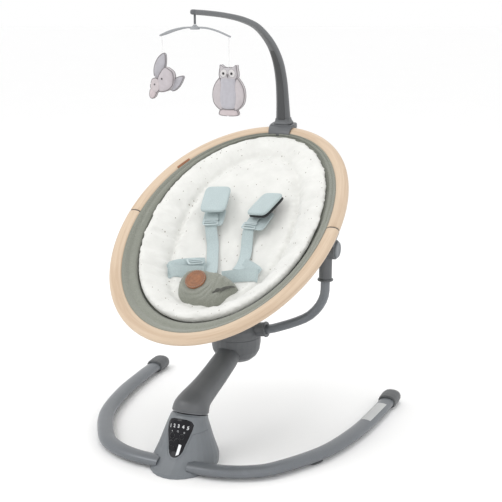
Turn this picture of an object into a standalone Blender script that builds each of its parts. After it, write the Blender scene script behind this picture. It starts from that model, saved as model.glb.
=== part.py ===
"""Baby swing: a bent-tube base with a control hub, a motor-swung arm, a swivelling cradle, an oval
reclining seat ring with its sling, inlay and harness, and a lift-off toy arm.

Metres, +Z up. X is the width, -Y the foot end, +Y the head end, Z=0 the floor."""

import math

import bmesh
import bpy
from mathutils import Matrix, Vector

# ---- driving dimensions --------------------------------------------------------------------------
GAP = 0.0004                       # clearance kept between touching pieces
WALL = 0.003                       # moulded shell thickness

LEG_PATH = [(0.030, -0.2687), (0.0902, -0.2630), (0.1430, -0.2434), (0.1856, -0.2058),
            (0.2431, -0.1059), (0.2722, 0.0113), (0.2832, 0.1289), (0.2858, 0.2030)]
LEG_HALF_WIDTH, LEG_HALF_HEIGHT, LEG_Z = 0.0165, 0.0100, 0.0140
LEG_CAP_START_Y, LEG_CAP_END_Y = 0.183, 0.238
FOOT_PAD_AT = (0.2335, -0.1300)

SWING_PIVOT = Vector((0, -0.199, 0.092))
SWING_TILT = math.radians(18)      # the swing axis leans back
SWING_AXIS = Vector((0, math.sin(SWING_TILT), math.cos(SWING_TILT)))
SHAFT_R = 0.008

# each hub section: front point (y, z), back point (y, z), half width
HUB_SECTIONS = [((-0.3050, 0.0000), (-0.1500, 0.0000), 0.0630),
                ((-0.3025, 0.0060), (-0.1490, 0.0060), 0.0636),
                ((-0.2910, 0.0140), (-0.1510, 0.0140), 0.0632),
                ((-0.2780, 0.0240), (-0.1560, 0.0220), 0.0607),
                ((-0.2665, 0.0380), (-0.1610, 0.0340), 0.0555),
                ((-0.2590, 0.0560), (-0.1645, 0.0480), 0.0495),
                ((-0.2515, 0.0770), (-0.1660, 0.0630), 0.0428),
                ((-0.2460, 0.0920), (-0.1665, 0.0745), 0.0375),
                ((-0.2400, 0.0990), (-0.1668, 0.0785), 0.0357),
                ((-0.2329, 0.1009), (-0.1663, 0.0793), 0.0350)]
HUB_SEAM_Z = 0.069
# half of the panel's outline as seen from the front: (half width, height)
PANEL_OUTLINE = [(0.0000, 0.0950), (0.0125, 0.0940), (0.0215, 0.0905), (0.0258, 0.0840),
                 (0.0250, 0.0750), (0.0212, 0.0620), (0.0170, 0.0490), (0.0150, 0.0410),
                 (0.0118, 0.0345), (0.0062, 0.0303), (0.0000, 0.0290)]
PANEL_PUSH = Vector((0, 0.953, -0.302))       # into the panel
PANEL_BEZEL = 0.0035
BUTTONS = {"power_button": (-0.0110, 0.0650), "timer_button": (0.0092, 0.0650),
           "volume_up_button": (0.0000, 0.0560), "volume_down_button": (-0.0113, 0.0520),
           "melody_button": (-0.0042, 0.0425)}
BUTTON_R = 0.0042
WINDOW_OUTLINE = [(0.0030, 0.0325), (0.0085, 0.0345), (0.0105, 0.0500), (0.0055, 0.0515)]

# arm sections, each: upper point (y, z), lower point (y, z), half width
ARM_SECTIONS = [((-0.2317, 0.1048), (-0.1651, 0.0832), 0.0350),
                ((-0.2305, 0.1105), (-0.1640, 0.0855), 0.0350),
                ((-0.2200, 0.1235), (-0.1620, 0.0870), 0.0336),
                ((-0.1950, 0.1325), (-0.1580, 0.0885), 0.0312),
                ((-0.1650, 0.1375), (-0.1480, 0.0905), 0.0292),
                ((-0.1300, 0.1430), (-0.1190, 0.0975), 0.0277),
                ((-0.0830, 0.1530), (-0.0730, 0.1105), 0.0270),
                ((-0.0400, 0.1640), (-0.0270, 0.1255), 0.0262),
                ((-0.0220, 0.1680), (-0.0080, 0.1350), 0.0240)]
BEAM_PATH = [(-0.1780, 0.1105), (-0.1250, 0.1195), (-0.0780, 0.1310), (-0.0300, 0.1450), (0.0000, 0.1530)]

BOWL_CENTRE = Vector((0, 0.021, 0))
BOWL_OUTER = [(0, 0.1265), (0.0200, 0.1270), (0.0330, 0.1315), (0.0430, 0.1400), (0.0495, 0.1520),
              (0.0520, 0.1670), (0.0518, 0.1808)]
BOWL_INNER = [(0.0488, 0.1808), (0.0490, 0.1670), (0.0465, 0.1535),
              (0.0405, 0.1430), (0.0310, 0.1352), (0.0190, 0.1305), (0, 0.1300)]
CAP_PROFILE = [(0, 0.1975), (0.0127, 0.1975), (0.0127, 0.1814), (0.0517, 0.1814), (0.0512, 0.1900),
               (0.0495, 0.1985), (0.0445, 0.2068), (0.0330, 0.2125), (0.0180, 0.2150), (0, 0.2155)]
SOCKET_START, SOCKET_DIR = Vector((0.028, 0.021, 0.1965)), Vector((0.990, -0.020, 0.139)).normalized()

TUBE_R = 0.0095
TUBE_PATH = [(0.0455, 0.0206, 0.1990), (0.0726, 0.0201, 0.2028), (0.1010, 0.0155, 0.2135),
             (0.1400, 0.0110, 0.2310), (0.1680, 0.0085, 0.2480), (0.1890, 0.0055, 0.2720),
             (0.2000, 0.0015, 0.2960), (0.2020, 0.0000, 0.3200), (0.2020, 0.0000, 0.3500)]
SLEEVE_X, SLEEVE_R, SLEEVE_BOTTOM = 0.202, 0.0128, 0.3270
RECLINE_PIVOT = Vector((0, 0, 0.391))
HOUSING_R, HOUSING_IN, HOUSING_OUT = 0.0195, 0.1965, 0.2245
RECESS_R, RECESS_IN = 0.0166, 0.2176
PIN_R = 0.0050

SEAT_CENTRE = Vector((0, -0.0057, 0.4307))
SEAT_ANGLE = math.radians(30.87)
SEAT_U = Vector((0, math.cos(SEAT_ANGLE), math.sin(SEAT_ANGLE)))      # towards the head
SEAT_N = Vector((0, -math.sin(SEAT_ANGLE), math.cos(SEAT_ANGLE)))     # out of the seat
RING_HALF_LENGTH, RING_HALF_WIDTH = 0.3177, 0.2175
RING_RADIAL, RING_NORMAL = 0.0133, 0.0091
SLING_HALF_LENGTH, SLING_HALF_WIDTH, SLING_THICK = 0.3030, 0.2030, 0.003
PAD_HALF_LENGTH, PAD_HALF_WIDTH, PAD_OFFSET_U = 0.280, 0.182, 0.018

TOY_BASE, TOY_LIFT = Vector((0, 0.288, 0.596)), Vector((0, -0.124, 0.992)).normalized()
# toy arm: (y, z, half width, half thickness)
TOY_ARM = [(0.2878, 0.5975, 0.0165, 0.0125), (0.2850, 0.6200, 0.0150, 0.0120),
           (0.2810, 0.6520, 0.0135, 0.0115), (0.2710, 0.6920, 0.0125, 0.0105),
           (0.2510, 0.7320, 0.0115, 0.0095), (0.2090, 0.7720, 0.0085, 0.0080),
           (0.1330, 0.8100, 0.0070, 0.0065), (0.0630, 0.8250, 0.0062, 0.0058),
           (-0.0230, 0.8355, 0.0056, 0.0052), (-0.1030, 0.8410, 0.0055, 0.0050),
           (-0.1660, 0.8440, 0.0050, 0.0046)]
HANGER_AT = Vector((0, -0.158, 0.8390))
OWL_HOOK, BIRD_HOOK = Vector((0.067, -0.158, 0.8020)), Vector((-0.067, -0.158, 0.8020))


# ---- small tools ---------------------------------------------------------------------------------
def clear_scene():
    for ob in list(bpy.data.objects):
        bpy.data.objects.remove(ob, do_unlink=True)


FINISHES = {                       # colour, roughness, metallic
    "frame_paint": ((0.135, 0.145, 0.155), 0.45, 0.0),
    "hub_plastic": ((0.150, 0.158, 0.168), 0.50, 0.0),
    "arm_plastic": ((0.120, 0.122, 0.126), 0.50, 0.0),
    "foot_rubber": ((0.080, 0.084, 0.088), 0.75, 0.0),
    "panel_gloss": ((0.010, 0.010, 0.012), 0.12, 0.0),
    "window_white": ((0.900, 0.910, 0.920), 0.30, 0.0),
    "steel": ((0.560, 0.570, 0.580), 0.35, 1.0),
    "copper": ((0.720, 0.380, 0.180), 0.35, 1.0),
    "board_green": ((0.040, 0.200, 0.090), 0.60, 0.0),
    "pale_wood": ((0.800, 0.620, 0.430), 0.50, 0.0),
    "seam_dark": ((0.180, 0.170, 0.160), 0.60, 0.0),
    "sage_fabric": ((0.420, 0.440, 0.370), 0.95, 0.0),
    "cream_fabric": ((0.860, 0.860, 0.820), 0.95, 0.0),
    "webbing": ((0.560, 0.640, 0.650), 0.85, 0.0),
    "felt": ((0.620, 0.580, 0.600), 0.95, 0.0),
    "clear_line": ((0.850, 0.850, 0.850), 0.40, 0.0),
}


def material(name, finish):
    colour, roughness, metallic = FINISHES[finish]
    mat = bpy.data.materials.new(name + "_" + finish)
    mat.use_nodes = True
    shader = mat.node_tree.nodes["Principled BSDF"]
    shader.inputs["Base Color"].default_value = (*colour, 1)
    shader.inputs["Roughness"].default_value = roughness
    shader.inputs["Metallic"].default_value = metallic
    return mat


def link(bm, name, finish=None):
    """Turn a bmesh into a linked object with outward faces; tools have no finish."""
    bmesh.ops.remove_doubles(bm, verts=bm.verts, dist=1e-5)
    bmesh.ops.recalc_face_normals(bm, faces=bm.faces)
    mesh = bpy.data.meshes.new(name)
    bm.to_mesh(mesh)
    bm.free()
    ob = bpy.data.objects.new(name, mesh)
    bpy.context.scene.collection.objects.link(ob)
    if finish:
        mesh.materials.append(material(name, finish))
        mesh.shade_smooth()
        mesh.set_sharp_from_angle(angle=math.radians(35))
    return ob


def combine(ob, tool, operation):
    """Apply one exact Boolean to ob and remove the tool."""
    mod = ob.modifiers.new(operation.lower(), "BOOLEAN")
    mod.operation = operation
    mod.solver = "EXACT"
    mod.object = tool
    bpy.context.view_layer.update()
    result = bpy.data.meshes.new_from_object(ob.evaluated_get(bpy.context.evaluated_depsgraph_get()))
    ob.modifiers.clear()
    ob.data = result
    result.name = ob.name
    bpy.data.objects.remove(tool, do_unlink=True)
    bm = bmesh.new()
    bm.from_mesh(result)
    bmesh.ops.remove_doubles(bm, verts=bm.verts, dist=1e-6)
    bm.to_mesh(result)
    bm.free()
    return ob


def cut(ob, tool):
    return combine(ob, tool, "DIFFERENCE")


def weld(ob, tool):
    return combine(ob, tool, "UNION")


def pivot_empty(name, at, parent=None):
    empty = bpy.data.objects.new(name, None)
    bpy.context.scene.collection.objects.link(empty)
    empty.parent = parent
    empty.location = at - (empty_place(parent) if parent else Vector())
    return empty


def empty_place(empty):
    place = Vector(empty.location)
    while empty.parent:
        empty = empty.parent
        place += empty.location
    return place


def hang(empty, *pieces):
    """Give each piece the joint's empty as its parent, keeping it where it is."""
    for ob in pieces:
        ob.data.transform(Matrix.Translation(-empty_place(empty)))
        ob.parent = empty


def ring_loop(centre, a_vec, b_vec, count, power=2.0):
    """A closed loop of points on an ellipse, or a rounded box when power is over 2."""
    points = []
    for i in range(count):
        t = 2 * math.pi * (i + 0.5) / count
        c, s = math.cos(t), math.sin(t)
        ca = math.copysign(abs(c) ** (2 / power), c)
        sb = math.copysign(abs(s) ** (2 / power), s)
        points.append(centre + a_vec * ca + b_vec * sb)
    return points


def loft(rings, closed=False):
    """Skin loops of equal count; closed joins the last loop to the first, otherwise both ends are capped."""
    bm = bmesh.new()
    rows = [[bm.verts.new(p) for p in ring] for ring in rings]
    pairs = list(zip(rows, rows[1:]))
    if closed:
        pairs.append((rows[-1], rows[0]))
    for first, second in pairs:
        for i in range(len(first)):
            j = (i + 1) % len(first)
            bm.faces.new((first[i], first[j], second[j], second[i]))
    if not closed:
        bm.faces.new(rows[0][::-1])
        bm.faces.new(rows[-1])
    return bm


def turned(profile, centre, axis, count=24):
    """A closed (radius, height) profile turned about an axis; a profile that starts and ends at radius 0
    makes a solid, any other makes a ring."""
    bm = bmesh.new()
    axis = axis.normalized()
    side = axis.orthogonal().normalized()
    other = axis.cross(side)
    solid = profile[0][0] == 0 and profile[-1][0] == 0
    rows = []
    for radius, height in profile:
        middle = centre + axis * height
        if radius == 0:
            rows.append([bm.verts.new(middle)])
        else:
            rows.append([bm.verts.new(p) for p in ring_loop(middle, side * radius, other * radius, count)])
    pairs = list(zip(rows, rows[1:]))
    if not solid:
        pairs.append((rows[-1], rows[0]))
    for first, second in pairs:
        for i in range(count):
            j = (i + 1) % count
            corners = [first[i % len(first)], first[j % len(first)], second[j % len(second)], second[i % len(second)]]
            bm.faces.new(list(dict.fromkeys(corners)))
    return bm


def rod(start, end, radius, count=16):
    length = (end - start).length
    return turned([(0, 0), (radius, 0), (radius, length), (0, length)], start, end - start, count)


def smooth_path(points, steps):
    """Catmull-Rom curve through the points, with steps samples for each span."""
    pts = [Vector(p) for p in points]
    pts = [2 * pts[0] - pts[1]] + pts + [2 * pts[-1] - pts[-2]]
    curve = []
    for k in range(1, len(pts) - 2):
        p0, p1, p2, p3 = pts[k - 1:k + 3]
        for i in range(steps):
            t = i / steps
            curve.append(0.5 * (2 * p1 + (p2 - p0) * t + (2 * p0 - 5 * p1 + 4 * p2 - p3) * t ** 2
                                + (3 * p1 - p0 - 3 * p2 + p3) * t ** 3))
    curve.append(pts[-2])
    return curve


def sweep_loops(path, half_sizes, side, count, power=2.0, grow=0.0):
    """Oval loops square to a path. side is the direction the first half size is kept to."""
    loops = []
    for i, p in enumerate(path):
        tangent = (path[min(i + 1, len(path) - 1)] - path[max(i - 1, 0)]).normalized()
        across = (side - tangent * side.dot(tangent)).normalized()
        up = tangent.cross(across)
        a, b = half_sizes[i] if isinstance(half_sizes, list) else half_sizes
        loops.append(ring_loop(p, across * (a + grow), up * (b + grow), count, power))
    return loops


def mirrored(bm):
    """Reflect a bmesh to the left side."""
    bmesh.ops.scale(bm, vec=(-1, 1, 1), verts=bm.verts)
    bmesh.ops.reverse_faces(bm, faces=bm.faces)
    return bm


def on_side(bm, side):
    return bm if side > 0 else mirrored(bm)


SIDES = (("left", -1), ("right", 1))


# ---- base ----------------------------------------------------------------------------------------
def leg_points():
    return smooth_path([(x, y, LEG_Z) for x, y in LEG_PATH], 3)


def leg_solid(grow=0.0):
    size = (LEG_HALF_HEIGHT, LEG_HALF_WIDTH)
    return loft(sweep_loops(leg_points(), size, Vector((0, 0, 1)), 12, 2.2, grow))


def leg_cap():
    """Rubber boot with a rounded toe, and a socket that the tube's end sits in."""
    path = leg_points()
    end = path[-1]
    along = (path[-1] - path[-3]).normalized()
    across = Vector((along.y, -along.x, 0))
    mouth = end - along * (end.y - LEG_CAP_START_Y)
    length = LEG_CAP_END_Y - LEG_CAP_START_Y
    rise = Vector((0, 0, 1))
    shape = [(0.00, 0.0180, 0.0128), (0.04, 0.0194, 0.0144), (0.30, 0.0200, 0.0149),
             (0.62, 0.0200, 0.0150), (0.80, 0.0188, 0.0142), (0.92, 0.0155, 0.0120), (1.0, 0.0090, 0.0075)]
    loops = [ring_loop(mouth + along * length * t + rise * (b + 0.00005 - LEG_Z), across * a, rise * b, 16, 2.4)
             for t, a, b in shape][::-1]
    inner_a, inner_b = LEG_HALF_WIDTH + GAP, LEG_HALF_HEIGHT + GAP
    loops.append(ring_loop(mouth, across * (inner_a + 0.0004), rise * (inner_b + 0.0004), 16, 2.2))
    loops.append(ring_loop(end + along * GAP, across * (inner_a + 0.0004), rise * (inner_b + 0.0004), 16, 2.2))
    return loft(loops)


def make_legs():
    for word, side in SIDES:
        link(on_side(leg_solid(), side), f"{word}_leg_tube", "frame_paint")
        link(on_side(leg_cap(), side), f"{word}_foot_cap", "foot_rubber")
        at = Vector((side * FOOT_PAD_AT[0], FOOT_PAD_AT[1], 0))
        along = Vector((side * 0.42, 0.91, 0)) * 0.016
        across = Vector((0.91, -side * 0.42, 0)) * 0.0085
        rise = Vector((0, 0, 1))
        pad = [ring_loop(at + rise * h, along * k, across * k, 12, 3)
               for h, k in ((0, 0.93), (0.0006, 1), (0.0034, 1))]
        link(loft(pad), f"{word}_foot_pad", "foot_rubber")


def hub_solid(inset=0.0, open_bottom=False):
    """The hub's outside, or its inside when inset; the inside runs out through the bottom."""
    loops = []
    for number, (front, back, half) in enumerate(HUB_SECTIONS):
        f, k = Vector((0, *front)), Vector((0, *back))
        inward = (k - f).normalized() * inset
        f, k = f + inward, k - inward
        if number == 0 and open_bottom:
            f.z = k.z = -0.010
        if number == len(HUB_SECTIONS) - 1:
            f, k = f - SWING_AXIS * inset, k - SWING_AXIS * inset
        loops.append(ring_loop((f + k) / 2, Vector((half - inset, 0, 0)), (k - f) / 2, 28))
    if inset > 0:
        del loops[-2]
    return loft(loops)


def panel_prism(grow, front=-0.33, back=-0.20):
    """The panel's outline pushed through from front to back, grown all round."""
    half = smooth_path([(x, 0, z) for x, z in PANEL_OUTLINE], 1)
    outline = half + [Vector((-p.x, 0, p.z)) for p in half[-2:0:-1]]
    grown = []
    for i, p in enumerate(outline):
        run = outline[(i + 1) % len(outline)] - outline[i - 1]
        grown.append(p + Vector((-run.z, 0, run.x)).normalized() * grow)
    return loft([[Vector((p.x, y, p.z)) for p in grown] for y in (front, back)])


def block(low, high):
    bm = bmesh.new()
    corners = bmesh.ops.create_cube(bm, size=1)["verts"]
    for v in corners:
        v.co = Vector([(low[k] + high[k]) / 2 + v.co[k] * (high[k] - low[k]) for k in range(3)])
    return bm


def hub_front(x, z):
    """A point on the hub's front surface."""
    for (f0, k0, a0), (f1, k1, a1) in zip(HUB_SECTIONS, HUB_SECTIONS[1:]):
        if f0[1] <= z <= f1[1]:
            t = (z - f0[1]) / (f1[1] - f0[1])
            front, back, half = (p + (q - p) * t for p, q in ((f0[0], f1[0]), (k0[0], k1[0]), (a0, a1)))
            depth = (back - front) / 2
            return Vector((x, (front + back) / 2 - depth * math.sqrt(1 - (x / half) ** 2), z))
    raise ValueError("height is outside the hub")


def make_hub():
    lower = link(hub_solid(), "hub_lower_shell", "hub_plastic")
    cut(lower, link(hub_solid(WALL, True), "tool"))
    upper = lower.copy()
    upper.data = lower.data.copy()
    upper.name = upper.data.name = "hub_upper_shell"
    bpy.context.scene.collection.objects.link(upper)
    # the upper shell reaches down round the panel; the lower one is cut back to meet it
    bib = link(panel_prism(PANEL_BEZEL), "tool")
    weld(bib, link(block((-0.1, -0.35, HUB_SEAM_Z), (0.1, -0.1, 0.15)), "tool"))
    combine(upper, bib, "INTERSECT")
    bib = link(panel_prism(PANEL_BEZEL + GAP), "tool")
    weld(bib, link(block((-0.1, -0.35, HUB_SEAM_Z - GAP), (0.1, -0.1, 0.15)), "tool"))
    cut(lower, bib)
    for _, side in SIDES:
        cut(lower, link(on_side(leg_solid(GAP), side), "tool"))
    cut(lower, link(rod(Vector((0, -0.175, 0.021)), Vector((0, -0.140, 0.021)), 0.0065), "tool"))
    cut(upper, link(panel_prism(GAP, back=-0.228), "tool"))
    cut(upper, link(rod(SWING_PIVOT - SWING_AXIS * 0.012, SWING_PIVOT + SWING_AXIS * 0.01, 0.0126, 24), "tool"))

    panel = link(hub_solid(-0.0004), "control_panel", "panel_gloss")
    cut(panel, link(hub_solid(0.0022), "tool"))
    combine(panel, link(panel_prism(0, back=-0.228), "tool"), "INTERSECT")
    for name, (x, z) in BUTTONS.items():
        face = hub_front(x, z)
        cut(panel, link(rod(face - PANEL_PUSH * 0.01, face + PANEL_PUSH * 0.012, BUTTON_R + 0.0005, 12), "tool"))
        push = pivot_empty(name + "_travel", face)
        profile = [(0, -0.0011), (BUTTON_R * 0.75, -0.0011), (BUTTON_R, -0.0006), (BUTTON_R, 0.0040), (0, 0.0040)]
        hang(push, link(turned(profile, face, PANEL_PUSH, 12), name, "panel_gloss"))
    slot = [Vector((x, 0, z)) for x, z in WINDOW_OUTLINE]
    middle = sum(slot, Vector()) / len(slot)
    grown = [middle + (p - middle) * 1.07 for p in slot]
    cut(panel, link(loft([[p + Vector((0, y, 0)) for p in grown] for y in (-0.30, -0.22)]), "tool"))
    window = loft([[Vector((p.x, hub_front(p.x, p.z).y + d, p.z)) for p in slot] for d in (-0.0007, 0.0016)])
    link(window, "indicator_window", "window_white")

    plate = [ring_loop(Vector((0, -0.2275, z)), Vector((0.0592, 0, 0)), Vector((0, 0.0722, 0)), 28)
             for z in (0, 0.0030)]
    link(loft(plate), "hub_base_plate", "hub_plastic")

    bush = [(0.0085, -0.0100), (0.0160, -0.0100), (0.0160, -0.0056), (0.0121, -0.0056), (0.0121, -0.0004),
            (0.0085, -0.0004)]
    link(turned(bush, SWING_PIVOT, SWING_AXIS, 18), "main_bearing", "steel")
    coil = [(0.0045, 0.0034), (0.0150, 0.0034), (0.0150, 0.0052), (0.0132, 0.0060), (0.0132, 0.0222),
            (0.0150, 0.0230), (0.0150, 0.0240), (0.0045, 0.0240)]
    link(turned(coil, Vector((0, -0.201, 0)), Vector((0, 0, 1)), 16), "drive_coil", "copper")
    board = block((-0.018, -0.0008, -0.020), (0.018, 0.0008, 0.020))
    bmesh.ops.rotate(board, verts=board.verts, matrix=Matrix.Rotation(-math.asin(0.302), 3, "X"))
    bmesh.ops.translate(board, verts=board.verts, vec=(0, -0.2425, 0.058))
    link(board, "control_board", "board_green")
    jack = [(0.0022, 0), (0.0058, 0), (0.0058, 0.016), (0.0022, 0.016)]
    link(turned(jack, Vector((0, -0.1720, 0.021)), Vector((0, 1, 0)), 16), "power_socket", "foot_rubber")


# ---- swinging arm --------------------------------------------------------------------------------
def arm_solid(inset=0.0, beyond=0.0):
    loops = []
    for number, (top, bottom, half) in enumerate(ARM_SECTIONS):
        f, k = Vector((0, *top)), Vector((0, *bottom))
        inward = (k - f).normalized() * inset
        across = Vector((half - inset, 0, 0))
        f, k = f + inward, k - inward
        end = {0: SWING_AXIS * -beyond, len(ARM_SECTIONS) - 1: Vector((0, 0.97, 0.24)) * beyond}
        shift = end.get(number, Vector())
        loops.append(ring_loop((f + k) / 2 + shift, across, (k - f) / 2, 20, 2.15))
    return loft(loops)


def make_arm():
    at = pivot_empty("swing_axis", SWING_PIVOT)
    cover = link(arm_solid(), "arm_cover", "arm_plastic")
    cut(cover, link(arm_solid(WALL, 0.01), "tool"))
    trim = turned([(0.0150, 0.0002), (0.0338, 0.0002), (0.0338, 0.0016), (0.0150, 0.0016)], SWING_PIVOT,
                  SWING_AXIS, 28)
    # the joint's dark trim ring turns with the arm
    trim = link(trim, "joint_trim_ring", "seam_dark")
    bowl = link(turned(BOWL_OUTER + BOWL_INNER, BOWL_CENTRE, Vector((0, 0, 1)), 28), "arm_bowl", "arm_plastic")
    cut(bowl, link(arm_solid(-GAP, 0.001), "tool"))
    beam = sweep_loops(smooth_path([(0, y, z) for y, z in BEAM_PATH], 3), (0.0120, 0.0085), Vector((1, 0, 0)), 12, 3)
    beam = link(loft(beam), "arm_beam", "steel")
    base = [(0, 0.1304), (0.0150, 0.1304), (0.0150, 0.1335), (0.0120, 0.1350), (0.0120, 0.1968), (0, 0.1968)]
    post = link(turned(base, BOWL_CENTRE, Vector((0, 0, 1)), 16), "swivel_post", "steel")
    shaft = [(0, -0.0560), (SHAFT_R, -0.0560), (SHAFT_R, 0.0040), (0.0115, 0.0040), (0.0115, 0.0140), (0, 0.0140)]
    shaft = link(turned(shaft, SWING_PIVOT, SWING_AXIS, 16), "swing_shaft", "steel")
    back = Vector((0, math.cos(SWING_TILT), -math.sin(SWING_TILT)))
    lever = block((-0.005, 0, -0.0550), (0.005, 0.026, -0.0500))
    bmesh.ops.rotate(lever, verts=lever.verts, matrix=Matrix.Rotation(-SWING_TILT, 3, "X"))
    bmesh.ops.translate(lever, verts=lever.verts, vec=SWING_PIVOT)
    weld(shaft, link(lever, "tool"))
    magnet = turned([(0, -0.0600), (0.0060, -0.0600), (0.0060, -0.0554), (0, -0.0554)],
                    SWING_PIVOT + back * 0.020, SWING_AXIS, 16)
    magnet = link(magnet, "drive_magnet", "steel")
    hang(at, cover, trim, bowl, beam, post, shaft, magnet)
    return at


# ---- cradle --------------------------------------------------------------------------------------
def make_cradle(arm):
    at = pivot_empty("swivel_axis", Vector((0, BOWL_CENTRE.y, 0.181)), arm)
    cap = link(turned(CAP_PROFILE, BOWL_CENTRE, Vector((0, 0, 1)), 28), "swivel_cap", "arm_plastic")
    pieces = [cap]
    for word, side in SIDES:
        flip = Vector((side, 1, 1))
        start, out = SOCKET_START * flip, SOCKET_DIR * flip
        socket = [(0, 0), (0.0148, 0), (0.0148, 0.0380), (0.0160, 0.0384), (0.0166, 0.0400), (0.0160, 0.0425),
                  (0, 0.0425)]
        weld(cap, link(turned(socket, start, out, 20), "tool"))
        cut(cap, link(rod(start + out * 0.0165, start + out * 0.060, 0.0103, 16), "tool"))

        path = smooth_path(TUBE_PATH, 2)
        tube = loft(sweep_loops(path, (TUBE_R, TUBE_R), Vector((0, 1, 0)), 10))
        pieces.append(link(on_side(tube, side), f"{word}_cradle_tube", "frame_paint"))

        sleeve = [(0, SLEEVE_BOTTOM), (0.0155, SLEEVE_BOTTOM), (0.0158, SLEEVE_BOTTOM + 0.0015),
                  (0.0150, SLEEVE_BOTTOM + 0.0035), (SLEEVE_R, SLEEVE_BOTTOM + 0.0040), (SLEEVE_R, 0.386), (0, 0.386)]
        foot = Vector((side * SLEEVE_X, 0, 0))
        housing = link(turned(sleeve, foot, Vector((0, 0, 1)), 20), f"{word}_pivot_housing", "arm_plastic")
        hub = RECLINE_PIVOT + Vector((side * HOUSING_IN, 0, 0))
        width = HOUSING_OUT - HOUSING_IN
        barrel = [(0, 0), (HOUSING_R - 0.001, 0), (HOUSING_R, 0.001), (HOUSING_R, width - 0.0015),
                  (HOUSING_R - 0.0015, width), (0, width)]
        outward = Vector((side, 0, 0))
        weld(housing, link(turned(barrel, hub, outward, 24), "tool"))
        cut(housing, link(rod(foot + Vector((0, 0, 0.31)), foot + Vector((0, 0, 0.3506)), 0.0102, 16), "tool"))
        recess = rod(RECLINE_PIVOT + outward * RECESS_IN, RECLINE_PIVOT + outward * 0.24, RECESS_R, 24)
        cut(housing, link(recess, "tool"))
        cut(housing, link(rod(RECLINE_PIVOT + outward * 0.19, RECLINE_PIVOT + outward * 0.22, 0.0055, 12), "tool"))
        pieces.append(housing)

        pin = [(0, 0.1795), (0.0085, 0.1795), (0.0085, 0.1830), (PIN_R, 0.1830), (PIN_R, 0.2170), (0, 0.2170)]
        pieces.append(link(turned(pin, RECLINE_PIVOT, outward, 12), f"{word}_pivot_pin", "steel"))

        press = pivot_empty(f"{word}_recline_button_travel", RECLINE_PIVOT + outward * 0.2285, at)
        disc = [(0, 0.2213), (0.0160, 0.2213), (0.0160, 0.2268), (0.0148, 0.2282), (0.0120, 0.2285),
                (0.0110, 0.2278), (0, 0.2275)]
        hang(press, link(turned(disc, RECLINE_PIVOT, outward, 24), f"{word}_recline_button", "hub_plastic"))
    hang(at, *pieces)
    return at


# ---- seat ----------------------------------------------------------------------------------------
def seat_point(x, u, n):
    return SEAT_CENTRE + Vector((x, 0, 0)) + SEAT_U * u + SEAT_N * n


def ring_dip(x, u):
    """How far the ring's plane bows down towards its ends, carried inwards over the seat."""
    rho = math.hypot(x / RING_HALF_WIDTH, u / RING_HALF_LENGTH) + 1e-9
    end = (u / RING_HALF_LENGTH) / rho
    return -(0.01025 + 0.00775 * end) * (end * rho) ** 2


def seat_depth(u):
    """The seat is deepest under the hips and shallow at the head."""
    return 0.020 + 0.028 * (1 - math.tanh((u - 0.02) / 0.09))


def pad_top(x, u):
    q = 1 - (x / PAD_HALF_WIDTH) ** 2 - ((u - PAD_OFFSET_U) / PAD_HALF_LENGTH) ** 2
    return ring_dip(x, u) + 0.008 - (seat_depth(u) + 0.012) * max(q, 0) ** 0.7


def sling_top(x, u):
    q = 1 - (x / SLING_HALF_WIDTH) ** 2 - (u / SLING_HALF_LENGTH) ** 2
    head_slack = 0.058 * max(u / RING_HALF_LENGTH, 0) ** 2
    return ring_dip(x, u) + 0.001 - (seat_depth(u) + 0.024 + head_slack) * q


def ring_point(phi):
    x, u = RING_HALF_WIDTH * math.sin(phi), RING_HALF_LENGTH * math.cos(phi)
    return seat_point(x, u, ring_dip(x, u))


def ring_section(phi, grow=0.0, count=12):
    """Oval section square to the ring."""
    step = 0.002
    tangent = (ring_point(phi + step) - ring_point(phi - step)).normalized()
    outward = tangent.cross(SEAT_N).normalized()
    if outward.dot(ring_point(phi) - SEAT_CENTRE) < 0:
        outward = -outward
    up = outward.cross(tangent).normalized()
    return ring_loop(ring_point(phi), outward * (RING_RADIAL + grow), up * (RING_NORMAL + grow), count, 2.3)


def ring_part(first, last, steps, grow=0.0, count=12):
    return loft([ring_section(first + (last - first) * i / steps, grow, count) for i in range(steps + 1)])


def disc_shell(half_width, half_length, shift, top, bottom, levels, count):
    """A closed dished shell between two height functions over an ellipse."""
    bm = bmesh.new()
    sheets = []
    for height in (top, bottom):
        rows = [[bm.verts.new(seat_point(0, shift, height(0, shift)))]]
        for level in levels:
            row = []
            for i in range(count):
                t = 2 * math.pi * i / count
                x, u = half_width * level * math.sin(t), half_length * level * math.cos(t) + shift
                row.append(bm.verts.new(seat_point(x, u, height(x, u))))
            rows.append(row)
        sheets.append(rows)
    for rows in sheets:
        for i in range(count):
            bm.faces.new((rows[0][0], rows[1][i], rows[1][(i + 1) % count]))
        for inner, outer in zip(rows[1:], rows[2:]):
            for i in range(count):
                j = (i + 1) % count
                bm.faces.new((inner[i], outer[i], outer[j], inner[j]))
    upper, lower = sheets[0][-1], sheets[1][-1]
    for i in range(count):
        j = (i + 1) % count
        bm.faces.new((upper[i], lower[i], lower[j], upper[j]))
    return bm


def strap(path, half_width=0.0125, thick=0.0018, lift=0.0026):
    """A flat band laid along (x, u) points on the inlay, lift above it."""
    flat = smooth_path([(x, u, 0) for x, u in path], 2)
    loops = []
    for i, p in enumerate(flat):
        run = (flat[min(i + 1, len(flat) - 1)] - flat[max(i - 1, 0)]).normalized()
        side = Vector((run.y, -run.x, 0)) * half_width
        loop = []
        for spot, rise in ((p + side, lift), (p - side, lift), (p - side, lift + thick), (p + side, lift + thick)):
            surface = max(pad_top(p.x + k * side.x, p.y + k * side.y) for k in (-1, -0.5, 0, 0.5, 1))
            loop.append(seat_point(spot.x, spot.y, surface + rise))
        loops.append(loop)
    return loft(loops)


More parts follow.
